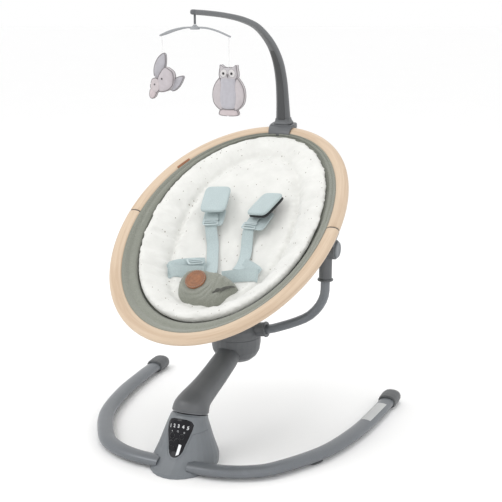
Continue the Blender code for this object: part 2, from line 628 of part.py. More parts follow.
def soft_block(x, u, half_x, half_u, angle, low, high, taper=0.9):
    """A rounded pad lying on the inlay, turned by angle in the seat's plane."""
    c, s = math.cos(angle), math.sin(angle)
    loops = []
    for rise, k in ((low, 0.4), (low, taper), ((low + high) / 2, 1), (high * 0.9, taper), (high, 0.4)):
        loop = ring_loop(Vector(), Vector((half_x * k, 0, 0)), Vector((0, half_u * k, 0)), 16, 4)
        spots = [(x + p.x * c - p.y * s, u + p.x * s + p.y * c) for p in loop]
        loops.append([seat_point(a, b, pad_top(a, b) + rise) for a, b in spots])
    return loft(loops)


def make_ring():
    seam = 0.0011 / RING_HALF_LENGTH + 0.0016
    half = math.pi / 2
    upper = link(ring_part(-half + seam, half - seam, 32), "upper_seat_ring", "pale_wood")
    lower = link(ring_part(half + seam, 3 * half - seam, 32), "lower_seat_ring", "pale_wood")
    bands = []
    for word, side in SIDES:
        thin = 0.0022
        band = loft([ring_section(side * half + t, -0.0006) for t in (-thin / 2, thin / 2)])
        bands.append(link(band, f"{word}_ring_seam_band", "seam_dark"))
    return [upper, lower] + bands


def make_brackets():
    brackets = []
    for word, side in SIDES:
        outward = Vector((side, 0, 0))
        disc = rod(RECLINE_PIVOT + outward * 0.1836, RECLINE_PIVOT + outward * 0.1884, 0.0155, 20)
        bracket = link(disc, f"{word}_ring_bracket", "arm_plastic")
        # inner plate, the link over the sleeve's top, and the saddle under the ring
        for x_range, u_range, n_range in (((0.1836, 0.1884), (-0.0300, 0.0020), (-0.0370, -0.0100)),
                                          ((0.1836, 0.1955), (-0.0300, 0.0120), (-0.0300, -0.0080)),
                                          ((0.1900, 0.2245), (-0.0300, 0.0120), (-0.0174, -0.0070))):
            corners = [[seat_point(side * x, u, n) for u, n in
                        ((u_range[0], n_range[0]), (u_range[1], n_range[0]), (u_range[1], n_range[1]),
                         (u_range[0], n_range[1]))] for x in x_range]
            weld(bracket, link(loft(corners), "tool"))
        cut(bracket, link(rod(RECLINE_PIVOT + outward * 0.1888, RECLINE_PIVOT + outward * 0.24, 0.0152, 20), "tool"))
        cut(bracket, link(rod(RECLINE_PIVOT + outward * 0.1955, RECLINE_PIVOT + outward * 0.24,
                              HOUSING_R + 0.0008, 24), "tool"))
        cut(bracket, link(rod(RECLINE_PIVOT + outward * 0.18, RECLINE_PIVOT + outward * 0.19, 0.0055, 12), "tool"))
        middle = side * math.pi / 2
        cut(bracket, link(ring_part(middle - 0.22, middle + 0.22, 8, GAP + 0.0002), "tool"))
        sling = disc_shell(SLING_HALF_WIDTH + 0.0006, SLING_HALF_LENGTH + 0.0006, 0,
                           lambda x, u: 0.02, lambda x, u: sling_top(x, u) - SLING_THICK - 0.0008,
                           (0.3, 0.6, 0.8, 0.9, 0.96, 1.0), 48)
        cut(bracket, link(sling, "tool"))
        brackets.append(bracket)
    return brackets


def make_clamp():
    spread = 0.124                 # half the clamp's angle round the ring
    steps = 8
    angles = [-spread + 2 * spread * i / steps for i in range(steps + 1)]
    clamp = link(loft([ring_section(a, 0.0042, 16) for a in angles]), "toy_clamp", "arm_plastic")
    forward = TOY_LIFT.cross(Vector((1, 0, 0)))
    boss = [ring_loop(TOY_BASE + TOY_LIFT * h, Vector((a, 0, 0)), forward * b, 20, 5)
            for h, a, b in ((-0.020, 0.0250, 0.0120), (-0.010, 0.0285, 0.0165), (-0.0015, 0.0285, 0.0165),
                            (-0.0005, 0.0275, 0.0155))]
    weld(clamp, link(loft(boss), "tool"))
    bore = [ring_section(-0.3 + 0.6 * i / 12, GAP + 0.0001, 12) for i in range(13)]
    cut(clamp, link(loft(bore), "tool"))
    peg = [ring_loop(TOY_BASE + TOY_LIFT * h, Vector((0.0090, 0, 0)), forward * 0.0065, 12, 3) for h in (-0.0068, 0.02)]
    cut(clamp, link(loft(peg), "tool"))
    return clamp


def make_soft():
    levels = (0.30, 0.55, 0.75, 0.88, 0.96, 1.0)
    sling = link(disc_shell(SLING_HALF_WIDTH, SLING_HALF_LENGTH, 0, sling_top,
                            lambda x, u: sling_top(x, u) - SLING_THICK, levels, 32), "seat_sling", "sage_fabric")
    cut(sling, link(loft([ring_section(-0.16 + 0.32 * i / 6, 0.0048, 12) for i in range(7)]), "tool"))
    pad = link(disc_shell(PAD_HALF_WIDTH, PAD_HALF_LENGTH, PAD_OFFSET_U, pad_top,
                          lambda x, u: sling_top(x, u) + 0.0050, levels, 28), "seat_inlay_pad", "cream_fabric")
    pieces = [sling, pad]

    # each side: shoulder strap, shoulder pad's place and turn, waist strap
    harness = {"left": ([(-0.058, 0.036), (-0.050, 0.005), (-0.041, -0.025), (-0.030, -0.0575), (-0.0185, -0.0885)],
                        (-0.062, 0.070, 0.18),
                        [(-0.097, -0.127), (-0.079, -0.119), (-0.055, -0.113), (-0.035, -0.106)]),
               "right": ([(0.019, 0.036), (0.0226, 0.0067), (0.0285, -0.0200), (0.037, -0.0495), (0.0393, -0.0720)],
                         (0.047, 0.071, -0.29),
                         [(0.103, -0.108), (0.085, -0.105), (0.060, -0.105), (0.038, -0.107)])}
    for word, (shoulder, (x, u, angle), waist) in harness.items():
        pieces.append(link(strap(shoulder), f"{word}_shoulder_strap", "webbing"))
        pieces.append(link(soft_block(x, u, 0.027, 0.029, angle, 0.0010, 0.0150), f"{word}_shoulder_pad", "webbing"))
        pieces.append(link(strap(waist), f"{word}_waist_strap", "webbing"))
    pieces.append(link(soft_block(0.006, -0.108, 0.019, 0.012, 0, 0.0050, 0.0170), "harness_buckle", "hub_plastic"))
    pieces.append(link(soft_block(0.003, -0.164, 0.057, 0.039, 0, 0.0030, 0.0300, 0.82), "crotch_cover", "sage_fabric"))
    return pieces


def make_seat(cradle):
    at = pivot_empty("recline_axis", RECLINE_PIVOT, cradle)
    pieces = make_ring() + make_brackets() + [make_clamp()] + make_soft()
    hang(at, *pieces)
    return at


# ---- toy arm -------------------------------------------------------------------------------------
def felt_toy(outline, thick, y, steps=2):
    """A stuffed flat toy: its outline in X and Z, rounded to a narrower front and back."""
    points = smooth_path([(x, 0, z) for x, z in outline] + [(outline[0][0], 0, outline[0][1])], steps)[:-1]
    middle = sum(points, Vector()) / len(points)
    loops = []
    for depth, k in ((-1, 0.80), (-0.55, 0.97), (0.55, 0.97), (1, 0.80)):
        loops.append([middle + (p - middle) * k + Vector((0, y + depth * thick, 0)) for p in points])
    return loft(loops)


def make_toys(seat):
    lift = pivot_empty("toy_arm_slide", TOY_BASE, seat)
    path = [Vector((0, y, z)) for y, z, _, _ in TOY_ARM]
    sizes = [(a, b) for _, _, a, b in TOY_ARM]
    arm = link(loft(sweep_loops(path, sizes, Vector((1, 0, 0)), 14, 2.6)), "toy_arm", "arm_plastic")
    forward = TOY_LIFT.cross(Vector((1, 0, 0)))
    peg = [ring_loop(TOY_BASE + TOY_LIFT * h, Vector((0.0085, 0, 0)), forward * 0.0060, 12, 3)
           for h in (-0.0060, 0.012)]
    weld(arm, link(loft(peg), "tool"))
    weld(arm, link(rod(HANGER_AT - Vector((0, 0, 0.0165)), HANGER_AT + Vector((0, 0, 0.004)), 0.0020, 10), "tool"))
    hang(lift, arm)

    spin = pivot_empty("hanger_spin", HANGER_AT, lift)
    hub = [(0, -0.0255), (0.0070, -0.0255), (0.0075, -0.0240), (0.0050, -0.0190), (0.0028, -0.0169), (0, -0.0169)]
    hanger = link(turned(hub, HANGER_AT, Vector((0, 0, 1)), 16), "toy_hanger", "hub_plastic")
    top = HANGER_AT.z - 0.0220
    bar = smooth_path([(0.003, 0, top), (0.024, 0, top - 0.0012), (0.046, 0, top - 0.0065),
                       (0.0695, 0, top - 0.0150)], 2)
    bar = [p + Vector((0, HANGER_AT.y, 0)) for p in bar]
    weld(hanger, link(loft(sweep_loops(bar, (0.0022, 0.0010), Vector((0, 1, 0)), 8)), "tool"))
    for bow in (-1, 1):
        wire = smooth_path([(-0.003, bow * 0.0010, top), (-0.024, bow * 0.0050, top - 0.0012),
                            (-0.046, bow * 0.0055, top - 0.0065), (-0.0640, bow * 0.0026, top - 0.0130),
                            (-0.0690, bow * -0.0008, top - 0.0150)], 2)
        wire = [p + Vector((0, HANGER_AT.y, 0)) for p in wire]
        weld(hanger, link(loft(sweep_loops(wire, (0.0011, 0.0011), Vector((0, 1, 0)), 6)), "tool"))
    hang(spin, hanger)

    owl = [(0.067, 0.6615), (0.086, 0.6625), (0.085, 0.6720), (0.098, 0.6860), (0.099, 0.7060), (0.088, 0.7280),
           (0.0860, 0.7420), (0.0830, 0.7530), (0.0670, 0.7500), (0.0510, 0.7530), (0.0480, 0.7420),
           (0.0460, 0.7280), (0.035, 0.7060), (0.036, 0.6860), (0.049, 0.6720), (0.048, 0.6625)]
    bird = [(-0.0920, 0.6880), (-0.0820, 0.6870), (-0.0740, 0.6980), (-0.0600, 0.7010), (-0.0460, 0.7050),
            (-0.0310, 0.7180), (-0.0250, 0.7300), (-0.0380, 0.7290), (-0.0450, 0.7390), (-0.0570, 0.7470),
            (-0.0620, 0.7430), (-0.0600, 0.7580), (-0.0635, 0.7715), (-0.0750, 0.7620), (-0.0850, 0.7430),
            (-0.0850, 0.7200), (-0.0890, 0.7040)]
    for name, outline, hook, string_low in (("owl", owl, OWL_HOOK, 0.7512), ("bird", bird, BIRD_HOOK, 0.7722)):
        swing = pivot_empty(f"{name}_swing", hook, spin)
        toy = link(felt_toy(outline, 0.0090, HANGER_AT.y), f"{name}_toy", "felt")
        low = Vector((hook.x, hook.y, string_low))
        line = link(rod(low, hook - Vector((0, 0, 0.0020)), 0.0006, 6), f"{name}_string", "clear_line")
        hang(swing, toy, line)


def main():
    clear_scene()
    make_legs()
    make_hub()
    arm = make_arm()
    cradle = make_cradle(arm)
    seat = make_seat(cradle)
    make_toys(seat)


main()
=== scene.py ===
import math

import bmesh
import bpy
from mathutils import Matrix, Vector
from mathutils.bvhtree import BVHTree


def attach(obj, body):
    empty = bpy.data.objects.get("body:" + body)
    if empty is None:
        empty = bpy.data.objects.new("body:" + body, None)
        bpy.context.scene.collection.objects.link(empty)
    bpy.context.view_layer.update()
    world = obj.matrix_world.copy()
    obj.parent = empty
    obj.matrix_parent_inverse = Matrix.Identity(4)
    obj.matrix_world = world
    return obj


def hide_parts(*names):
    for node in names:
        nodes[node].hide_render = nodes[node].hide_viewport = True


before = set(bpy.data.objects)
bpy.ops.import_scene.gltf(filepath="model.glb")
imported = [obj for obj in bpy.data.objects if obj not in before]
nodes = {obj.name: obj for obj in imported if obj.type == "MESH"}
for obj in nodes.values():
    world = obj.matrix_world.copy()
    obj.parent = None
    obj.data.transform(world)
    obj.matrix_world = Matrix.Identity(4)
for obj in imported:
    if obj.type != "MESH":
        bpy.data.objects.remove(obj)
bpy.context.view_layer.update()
print("frame loaded:", len(nodes), "nodes")

# camera, floor and light

cameraSetup = {"place": (0.8319, -1.8675, 0.8707), "aim": (0.0427, 0.0, 0.3711), "lens": 74.04, "sensor": 36}
studio = {"floorHalf": 30.0, "floorColour": (0.995, 0.995, 0.995), "worldColour": (1.0, 1.0, 1.0),
          "worldStrength": 1.0,
          "key": ((-1.5, -1.4, 2.3), 17, 1.2), "fill": ((2.2, -1.6, 1.5), 5, 1.6), "top": ((0.1, 0.5, 2.6), 9, 1.2),
          "lightAim": (0.0, 0.0, 0.35)}


def nothingSelected():
    if bpy.context.object and bpy.context.object.mode != "OBJECT":
        bpy.ops.object.mode_set(mode="OBJECT")
    bpy.ops.object.select_all(action="DESELECT")


def takeUp(piece):
    nothingSelected()
    piece.select_set(True)
    bpy.context.view_layer.objects.active = piece
    return piece


def aimAt(thing, target):
    thing.rotation_mode = "QUATERNION"
    thing.rotation_quaternion = (Vector(target) - thing.location).to_track_quat("-Z", "Y")


def makeStudio():
    nothingSelected()
    bpy.ops.object.camera_add(location=cameraSetup["place"])
    camera = bpy.context.object
    camera.name = "swingCamera"
    camera.data.sensor_width = cameraSetup["sensor"]
    camera.data.lens = cameraSetup["lens"]
    aimAt(camera, cameraSetup["aim"])
    bpy.context.scene.camera = camera
    for name in ("key", "fill", "top"):
        place, power, size = studio[name]
        bpy.ops.object.light_add(type="AREA", location=place)
        light = bpy.context.object
        light.name = name + "Light"
        light.data.energy = power
        light.data.size = size
        aimAt(light, studio["lightAim"])
    world = bpy.data.worlds.new("softStudio")
    world.use_nodes = True
    background = world.node_tree.nodes["Background"]
    background.inputs["Color"].default_value = (*studio["worldColour"], 1)
    background.inputs["Strength"].default_value = studio["worldStrength"]
    bpy.context.scene.world = world
    bpy.context.scene.view_settings.view_transform = "Standard"
    bpy.ops.mesh.primitive_circle_add(vertices=64, radius=studio["floorHalf"], fill_type="NGON",
                                      location=(0, 0, -0.0004))
    floor = bpy.context.object
    floor.name = "studioFloor"
    return floor


floor = makeStudio()
print("camera, lights and floor made")

# materials


def addNode(material, kind, values=None, **settings):
    node = material.node_tree.nodes.new(kind)
    for key, value in settings.items():
        setattr(node, key, value)
    for key, value in (values or {}).items():
        if hasattr(value, "is_output"):
            material.node_tree.links.new(value, node.inputs[key])
        else:
            node.inputs[key].default_value = value
    return node


def startMaterial(name, sockets):
    material = bpy.data.materials.new(name)
    material.use_nodes = True
    shader = material.node_tree.nodes["Principled BSDF"]
    for key, value in sockets.items():
        shader.inputs[key].default_value = value
    return material, shader


def coordinates(material, uv=None, stretch=(1, 1, 1), turn=(0, 0, 0)):
    if uv:
        source = addNode(material, "ShaderNodeUVMap", uv_map=uv).outputs[0]
    else:
        source = addNode(material, "ShaderNodeTexCoord").outputs["Object"]
    return addNode(material, "ShaderNodeMapping", {"Vector": source, "Rotation": turn, "Scale": stretch}).outputs[0]


def noisePattern(material, vector, scale, detail=2.0, roughness=0.5):
    return addNode(material, "ShaderNodeTexNoise", {"Vector": vector, "Scale": scale, "Detail": detail,
                                                   "Roughness": roughness}).outputs[0]


def rampPattern(material, factor, stops):
    ramp = addNode(material, "ShaderNodeValToRGB", {"Fac": factor})
    while len(ramp.color_ramp.elements) < len(stops):
        ramp.color_ramp.elements.new(0.5)
    for element, (place, colour) in zip(ramp.color_ramp.elements, stops):
        element.position = place
        element.color = (*colour, 1)
    return ramp.outputs[0]


def rangePattern(material, factor, low, high, fromLow=0.3, fromHigh=0.7):
    return addNode(material, "ShaderNodeMapRange", {"Value": factor, "From Min": fromLow, "From Max": fromHigh,
                                                   "To Min": low, "To Max": high}).outputs[0]


def mixColours(material, factor, first, second, blend="MIX"):
    node = addNode(material, "ShaderNodeMix", data_type="RGBA", blend_type=blend)
    for index, value in ((0, factor), (6, first), (7, second)):
        if hasattr(value, "is_output"):
            material.node_tree.links.new(value, node.inputs[index])
        else:
            node.inputs[index].default_value = value if index == 0 else (*value, 1)
    return node.outputs[2]


def joinHeights(material, first, second, share=0.5):
    scaled = addNode(material, "ShaderNodeMath", {0: second, 1: share}, operation="MULTIPLY").outputs[0]
    return addNode(material, "ShaderNodeMath", {0: first, 1: scaled}, operation="ADD").outputs[0]


def finishMaterial(material, shader, colour=None, roughness=None, height=None, strength=0.3, distance=0.0005):
    links = material.node_tree.links
    if colour is not None:
        links.new(colour, shader.inputs["Base Color"])
    if roughness is not None:
        links.new(roughness, shader.inputs["Roughness"])
    if height is not None:
        bump = addNode(material, "ShaderNodeBump", {"Height": height, "Strength": strength, "Distance": distance})
        links.new(bump.outputs[0], shader.inputs["Normal"])
    return material


def scaled(colour, k):
    return tuple(min(c * k, 1.0) for c in colour)


def mouldedPlastic(name, colour, roughness=0.45, grain=1400, strength=0.16, mottle=0.10, coat=0.0):
    material, shader = startMaterial(name, {"Coat Weight": coat, "Coat Roughness": 0.25})
    where = coordinates(material)
    cloudy = noisePattern(material, where, 14, 4)
    fine = noisePattern(material, where, grain, 3, 0.6)
    scuffs = noisePattern(material, coordinates(material, stretch=(1, 6, 1)), 70, 5, 0.65)
    tint = rampPattern(material, cloudy, [(0.30, scaled(colour, 1 - mottle)), (0.70, scaled(colour, 1 + mottle))])
    tint = mixColours(material, rangePattern(material, scuffs, 0.0, 0.16, 0.60, 0.72), tint, scaled(colour, 1.6))
    rough = rangePattern(material, joinHeights(material, cloudy, scuffs, 0.6), roughness - 0.07, roughness + 0.07,
                         0.4, 1.1)
    return finishMaterial(material, shader, tint, rough, fine, strength, 0.0003)


def satinPaint(name, colour):
    material, shader = startMaterial(name, {"Metallic": 0.25, "Coat Weight": 0.25, "Coat Roughness": 0.22})
    where = coordinates(material)
    peel = noisePattern(material, where, 420, 2)
    flake = noisePattern(material, where, 2600, 1)
    wear = noisePattern(material, where, 24, 6, 0.62)
    tint = rampPattern(material, flake, [(0.35, scaled(colour, 0.88)), (0.65, scaled(colour, 1.12))])
    tint = mixColours(material, rangePattern(material, wear, 0.0, 0.20, 0.62, 0.72), tint, scaled(colour, 1.5))
    rough = rangePattern(material, wear, 0.32, 0.44)
    return finishMaterial(material, shader, tint, rough, peel, 0.08, 0.0006)


def dullRubber(name, colour):
    material, shader = startMaterial(name, {"Sheen Weight": 0.15, "Sheen Roughness": 0.6})
    where = coordinates(material)
    dust = noisePattern(material, where, 45, 6, 0.65)
    stipple = addNode(material, "ShaderNodeTexVoronoi", {"Vector": where, "Scale": 900}).outputs[0]
    tint = rampPattern(material, dust, [(0.35, colour), (0.75, scaled(colour, 1.45))])
    return finishMaterial(material, shader, tint, rangePattern(material, dust, 0.55, 0.75), stipple, 0.25, 0.0003)


def blackGloss(name, colour):
    material, shader = startMaterial(name, {"Specular IOR Level": 0.22})
    where = coordinates(material)
    smudge = noisePattern(material, where, 60, 5, 0.7)
    tint = rampPattern(material, smudge, [(0.3, colour), (0.8, scaled(colour, 1.8))])
    return finishMaterial(material, shader, tint, rangePattern(material, smudge, 0.10, 0.22), smudge, 0.03, 0.0003)


def brushedMetal(name, colour, stretch=(1, 1, 14)):
    material, shader = startMaterial(name, {"Metallic": 1.0})
    lines = noisePattern(material, coordinates(material, stretch=stretch), 260, 3)
    cloudy = noisePattern(material, coordinates(material), 30, 4)
    tint = rampPattern(material, cloudy, [(0.3, scaled(colour, 0.85)), (0.7, scaled(colour, 1.1))])
    return finishMaterial(material, shader, tint, rangePattern(material, lines, 0.25, 0.45), lines, 0.15, 0.0002)


def woundCopper(name, colour):
    material, shader = startMaterial(name, {"Metallic": 1.0})
    turns = addNode(material, "ShaderNodeTexWave", {"Vector": coordinates(material), "Scale": 320, "Distortion": 0.4},
                    bands_direction="Z").outputs[1]
    tint = rampPattern(material, turns, [(0.1, scaled(colour, 0.35)), (0.8, colour)])
    return finishMaterial(material, shader, tint, rangePattern(material, turns, 0.5, 0.28), turns, 0.6, 0.0004)


def circuitBoard(name, colour):
    material, shader = startMaterial(name, {"Coat Weight": 0.3, "Coat Roughness": 0.2})
    where = coordinates(material)
    tracks = addNode(material, "ShaderNodeTexVoronoi", {"Vector": where, "Scale": 330}, distance="MANHATTAN",
                     feature="F1").outputs[0]
    tint = rampPattern(material, tracks, [(0.42, colour), (0.50, scaled(colour, 2.4)), (0.58, scaled(colour, 0.7))])
    return finishMaterial(material, shader, tint, rangePattern(material, tracks, 0.35, 0.6), tracks, 0.3, 0.0002)


def ashWood(name, pale, dark, uv="grainMap"):
    material, shader = startMaterial(name, {"Coat Weight": 0.12, "Coat Roughness": 0.35})
    along = coordinates(material, uv, (1.6, 38, 1))
    fibres = coordinates(material, uv, (9, 420, 1))
    figure = noisePattern(material, along, 2.2, 5, 0.55)
    fine = noisePattern(material, fibres, 1.6, 4, 0.6)
    pores = noisePattern(material, coordinates(material, uv, (30, 900, 1)), 1.2, 2)
    tint = rampPattern(material, figure, [(0.28, scaled(pale, 1.04)), (0.50, pale), (0.62, dark), (0.80, pale)])
    tint = mixColours(material, rangePattern(material, fine, 0.0, 0.42, 0.45, 0.75), tint, scaled(dark, 0.93))
    tint = mixColours(material, rangePattern(material, pores, 0.0, 0.35, 0.66, 0.74), tint, scaled(dark, 0.62))
    height = joinHeights(material, fine, pores, -0.5)
    return finishMaterial(material, shader, tint, rangePattern(material, fine, 0.38, 0.55), height, 0.20, 0.0003)


def wovenCloth(name, pale, dark, uv, pitch, heather=0.5, strength=0.6, sheen=0.25, diagonal=False):
    material, shader = startMaterial(name, {"Sheen Weight": sheen, "Sheen Roughness": 0.45})
    turn = (0, 0, math.radians(38)) if diagonal else (0, 0, 0)
    where = coordinates(material, uv, (1, 1, 1), turn)
    waves = [addNode(material, "ShaderNodeTexWave", {"Vector": where, "Scale": 1 / pitch / math.pi, "Distortion": 0.6,
                                                     "Detail": 1.0, "Detail Scale": 2.0},
                     bands_direction=d).outputs[1]
             for d in ("X", "Y")]
    weave = addNode(material, "ShaderNodeMath", {0: waves[0], 1: waves[1]}, operation="MULTIPLY").outputs[0]
    yarn = noisePattern(material, coordinates(material, uv, (260, 1700, 1)), 1.0, 3, 0.7)
    cloudy = noisePattern(material, coordinates(material, uv), 34, 4)
    tint = rampPattern(material, yarn, [(0.5 - 0.3 * heather, dark), (0.5 + 0.3 * heather, pale)])
    tint = mixColours(material, rangePattern(material, weave, 0.28, 0.0, 0.0, 0.45), tint, scaled(dark, 0.72))
    tint = mixColours(material, rangePattern(material, cloudy, 0.0, 0.14), tint, scaled(dark, 0.9))
    height = joinHeights(material, weave, yarn, 0.35)
    return finishMaterial(material, shader, tint, rangePattern(material, yarn, 0.80, 0.97), height, strength, 0.0005)


def fleckedJersey(name, pale, shade, fleck, uv="clothMap"):
    material, shader = startMaterial(name, {"Sheen Weight": 0.35, "Sheen Roughness": 0.5})
    where = coordinates(material, uv)
    knit = addNode(material, "ShaderNodeTexWave", {"Vector": where, "Scale": 210, "Distortion": 2.2, "Detail": 2.0,
                                                   "Detail Scale": 1.6}, bands_direction="X").outputs[1]
    fuzz = noisePattern(material, where, 1300, 3, 0.7)
    soft = noisePattern(material, where, 26, 4)
    cells = addNode(material, "ShaderNodeTexVoronoi", {"Vector": coordinates(material, uv, (170, 115, 1)),
                                                       "Scale": 1.0,
                                                       "Randomness": 1.0})
    picked = addNode(material, "ShaderNodeSeparateColor", {0: cells.outputs[1]}).outputs[0]
    chosen = rangePattern(material, picked, 0.0, 1.0, 0.76, 0.80)
    dot = rangePattern(material, cells.outputs[0], 1.0, 0.0, 0.10, 0.20)
    flecks = addNode(material, "ShaderNodeMath", {0: chosen, 1: dot}, operation="MULTIPLY").outputs[0]
    tint = rampPattern(material, soft, [(0.3, shade), (0.7, pale)])
    tint = mixColours(material, rangePattern(material, fuzz, 0.20, 0.0, 0.3, 0.6), tint, scaled(shade, 0.86))
    tint = mixColours(material, flecks, tint, fleck)
    height = joinHeights(material, knit, fuzz, 0.7)
    return finishMaterial(material, shader, tint, rangePattern(material, fuzz, 0.85, 0.98), height, 0.45, 0.0005)


def softFelt(name, colour, fleck=0.10):
    material, shader = startMaterial(name, {"Sheen Weight": 0.4, "Sheen Roughness": 0.5})
    where = coordinates(material)
    fibre = noisePattern(material, where, 1500, 4, 0.75)
    cloudy = noisePattern(material, where, 120, 3)
    tint = rampPattern(material, cloudy, [(0.3, scaled(colour, 1 - fleck)), (0.7, scaled(colour, 1 + fleck))])
    tint = mixColours(material, rangePattern(material, fibre, 0.0, 0.22), tint, scaled(colour, 0.78))
    return finishMaterial(material, shader, tint, rangePattern(material, fibre, 0.86, 0.98), fibre, 0.7, 0.0005)


def grainedLeather(name, colour):
    material, shader = startMaterial(name, {"Coat Weight": 0.06, "Coat Roughness": 0.4})
    where = coordinates(material)
    cells = addNode(material, "ShaderNodeTexVoronoi", {"Vector": where, "Scale": 850},
                    feature="DISTANCE_TO_EDGE").outputs[0]
    cloudy = noisePattern(material, where, 110, 5, 0.6)
    tint = rampPattern(material, cloudy, [(0.3, scaled(colour, 0.74)), (0.7, scaled(colour, 1.16))])
    tint = mixColours(material, rangePattern(material, cells, 0.45, 0.0, 0.0, 0.12), tint, scaled(colour, 0.45))
    return finishMaterial(material, shader, tint, rangePattern(material, cloudy, 0.48, 0.66), cells, 0.5, 0.0004)


def clearNylon(name):
    material, shader = startMaterial(name, {"Transmission Weight": 0.92, "IOR": 1.35,
                                            "Base Color": (0.95, 0.95, 0.95, 1)})
    where = coordinates(material)
    return finishMaterial(material, shader, None, rangePattern(material, noisePattern(material, where, 900), 0.10,
                                                               0.22))


def paleFloor(name, colour):
    material, shader = startMaterial(name, {})
    where = coordinates(material)
    tint = rampPattern(material, noisePattern(material, where, 1.5, 2), [(0.3, scaled(colour, 0.995)), (0.7, colour)])
    return finishMaterial(material, shader, tint, rangePattern(material, noisePattern(material, where, 40), 0.75,
                                                               0.85))


finishes = {
    "frame_paint": satinPaint("satinGreyPaint", (0.150, 0.162, 0.176)),
    "hub_plastic": mouldedPlastic("hubGreyPlastic", (0.158, 0.172, 0.186), 0.42, coat=0.08),
    "arm_plastic": mouldedPlastic("armGreyPlastic", (0.105, 0.110, 0.116), 0.44, coat=0.06),
    "foot_rubber": dullRubber("footRubber", (0.070, 0.074, 0.078)),
    "panel_gloss": blackGloss("panelBlackGloss", (0.008, 0.008, 0.010)),
    # window_white: the white bar on the glossy panel is a painted reflection of a strip lamp
    "window_white": mouldedPlastic("panelReflectionWhite", (0.86, 0.88, 0.90), 0.25, 900, 0.02, 0.01, 0.4),
    "steel": brushedMetal("turnedSteel", (0.55, 0.56, 0.57)),
    "copper": woundCopper("woundCopper", (0.72, 0.38, 0.18)),
    "board_green": circuitBoard("boardGreen", (0.04, 0.20, 0.09)),
    "pale_wood": ashWood("paleAsh", (0.610, 0.475, 0.345), (0.520, 0.385, 0.265)),
    "seam_dark": mouldedPlastic("seamDark", (0.115, 0.122, 0.135), 0.25, 800, 0.03, 0.05, 0.3),
    "sage_fabric": wovenCloth("sageWeave", (0.345, 0.355, 0.305), (0.215, 0.225, 0.190), "clothMap", 0.0011),
    "cream_fabric": fleckedJersey("fleckedJersey", (0.790, 0.790, 0.760), (0.700, 0.700, 0.670), (0.20, 0.16, 0.12)),
    "webbing": wovenCloth("paleWebbing", (0.560, 0.650, 0.655), (0.430, 0.515, 0.525), "clothMap", 0.0008, 0.6, 0.5,
                          0.2, True),
    "felt": softFelt("greyFelt", (0.52, 0.50, 0.53)),
    "clear_line": clearNylon("clearNylon"),
}
leather = grainedLeather("brownLeather", (0.300, 0.130, 0.062))
thread = softFelt("stitchThread", (0.34, 0.33, 0.32))
floor.data.materials.append(paleFloor("paleFloor", studio["floorColour"]))


def dressNodes():
    for name, piece in nodes.items():
        chosen = finishes[piece.data.materials[0].name.split(".")[0]]
        for place in piece.material_slots:
            place.link = "OBJECT"
            place.material = chosen
    print("finishes given to", len(nodes), "nodes")


dressNodes()

# making tools


def closePiece(piece, body, slotName, finish=None, smoothAngle=40):
    takeUp(piece)
    bpy.ops.object.transform_apply(location=True, rotation=True, scale=True)
    bpy.ops.object.mode_set(mode="EDIT")
    bpy.ops.mesh.select_all(action="SELECT")
    bpy.ops.mesh.normals_make_consistent(inside=False)
    bpy.ops.object.mode_set(mode="OBJECT")
    bpy.ops.object.shade_smooth_by_angle(angle=math.radians(smoothAngle))
    piece.data.materials.clear()
    piece.data.materials.append(finish or finishes[slotName])
    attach(piece, body)
    return piece


def applyModifier(piece, kind, **settings):
    takeUp(piece)
    change = piece.modifiers.new(kind.lower(), kind)
    for key, value in settings.items():
        setattr(change, key, value)
    bpy.ops.object.modifier_apply(modifier=change.name)
    return piece


def smoothOut(piece, levels=1):
    return applyModifier(piece, "SUBSURF", levels=levels, render_levels=levels)


def joinPieces(name, pieces):
    nothingSelected()
    for piece in pieces:
        piece.select_set(True)
    bpy.context.view_layer.objects.active = pieces[0]
    bpy.ops.object.join()
    pieces[0].name = pieces[0].data.name = name
    return pieces[0]


def extrudeSections(name, sections, closed=False, capped=True):
    # one loop of points is extruded from section to section; row and column stay with each point
    nothingSelected()
    bpy.ops.mesh.primitive_circle_add(vertices=len(sections[0]), radius=0.01, fill_type="NOTHING")
    piece = bpy.context.object
    piece.name = piece.data.name = name
    bpy.ops.object.mode_set(mode="EDIT")
    mesh = bmesh.from_edit_mesh(piece.data)
    mesh.verts.layers.int.new("column")
    mesh.verts.layers.int.new("row")
    column = mesh.verts.layers.int["column"]
    for index, (v, point) in enumerate(zip(mesh.verts, sections[0])):
        v.co = point
        v[column] = index
    bpy.ops.mesh.select_all(action="SELECT")
    for number, section in enumerate(sections[1:], 1):
        bpy.ops.mesh.extrude_region_move()
        mesh = bmesh.from_edit_mesh(piece.data)
        column, row = mesh.verts.layers.int["column"], mesh.verts.layers.int["row"]
        mesh.verts.ensure_lookup_table()
        for v in mesh.verts[-len(section):]:
            v.co = section[v[column]]
            v[row] = number
    last = len(sections) - 1
    mesh = bmesh.from_edit_mesh(piece.data)
    row = mesh.verts.layers.int["row"]
    if closed:
        for e in mesh.edges:
            e.select_set(all(v[row] in (0, last) for v in e.verts) and e.verts[0][row] == e.verts[1][row])
        mesh.select_flush_mode()
        bpy.ops.mesh.bridge_edge_loops()
    elif capped:
        for end in (0, last):
            bpy.ops.mesh.select_all(action="DESELECT")
            mesh = bmesh.from_edit_mesh(piece.data)
            row = mesh.verts.layers.int["row"]
            for v in mesh.verts:
                v.select_set(v[row] == end)
            mesh.select_flush_mode()
            bpy.ops.mesh.edge_face_add()
    bpy.ops.object.mode_set(mode="OBJECT")
    return piece


def dropAttributes(piece):
    # the point numbers are only needed while a sweep is shaped and mapped
    for name in ("column", "row"):
        piece.data.attributes.remove(piece.data.attributes[name])


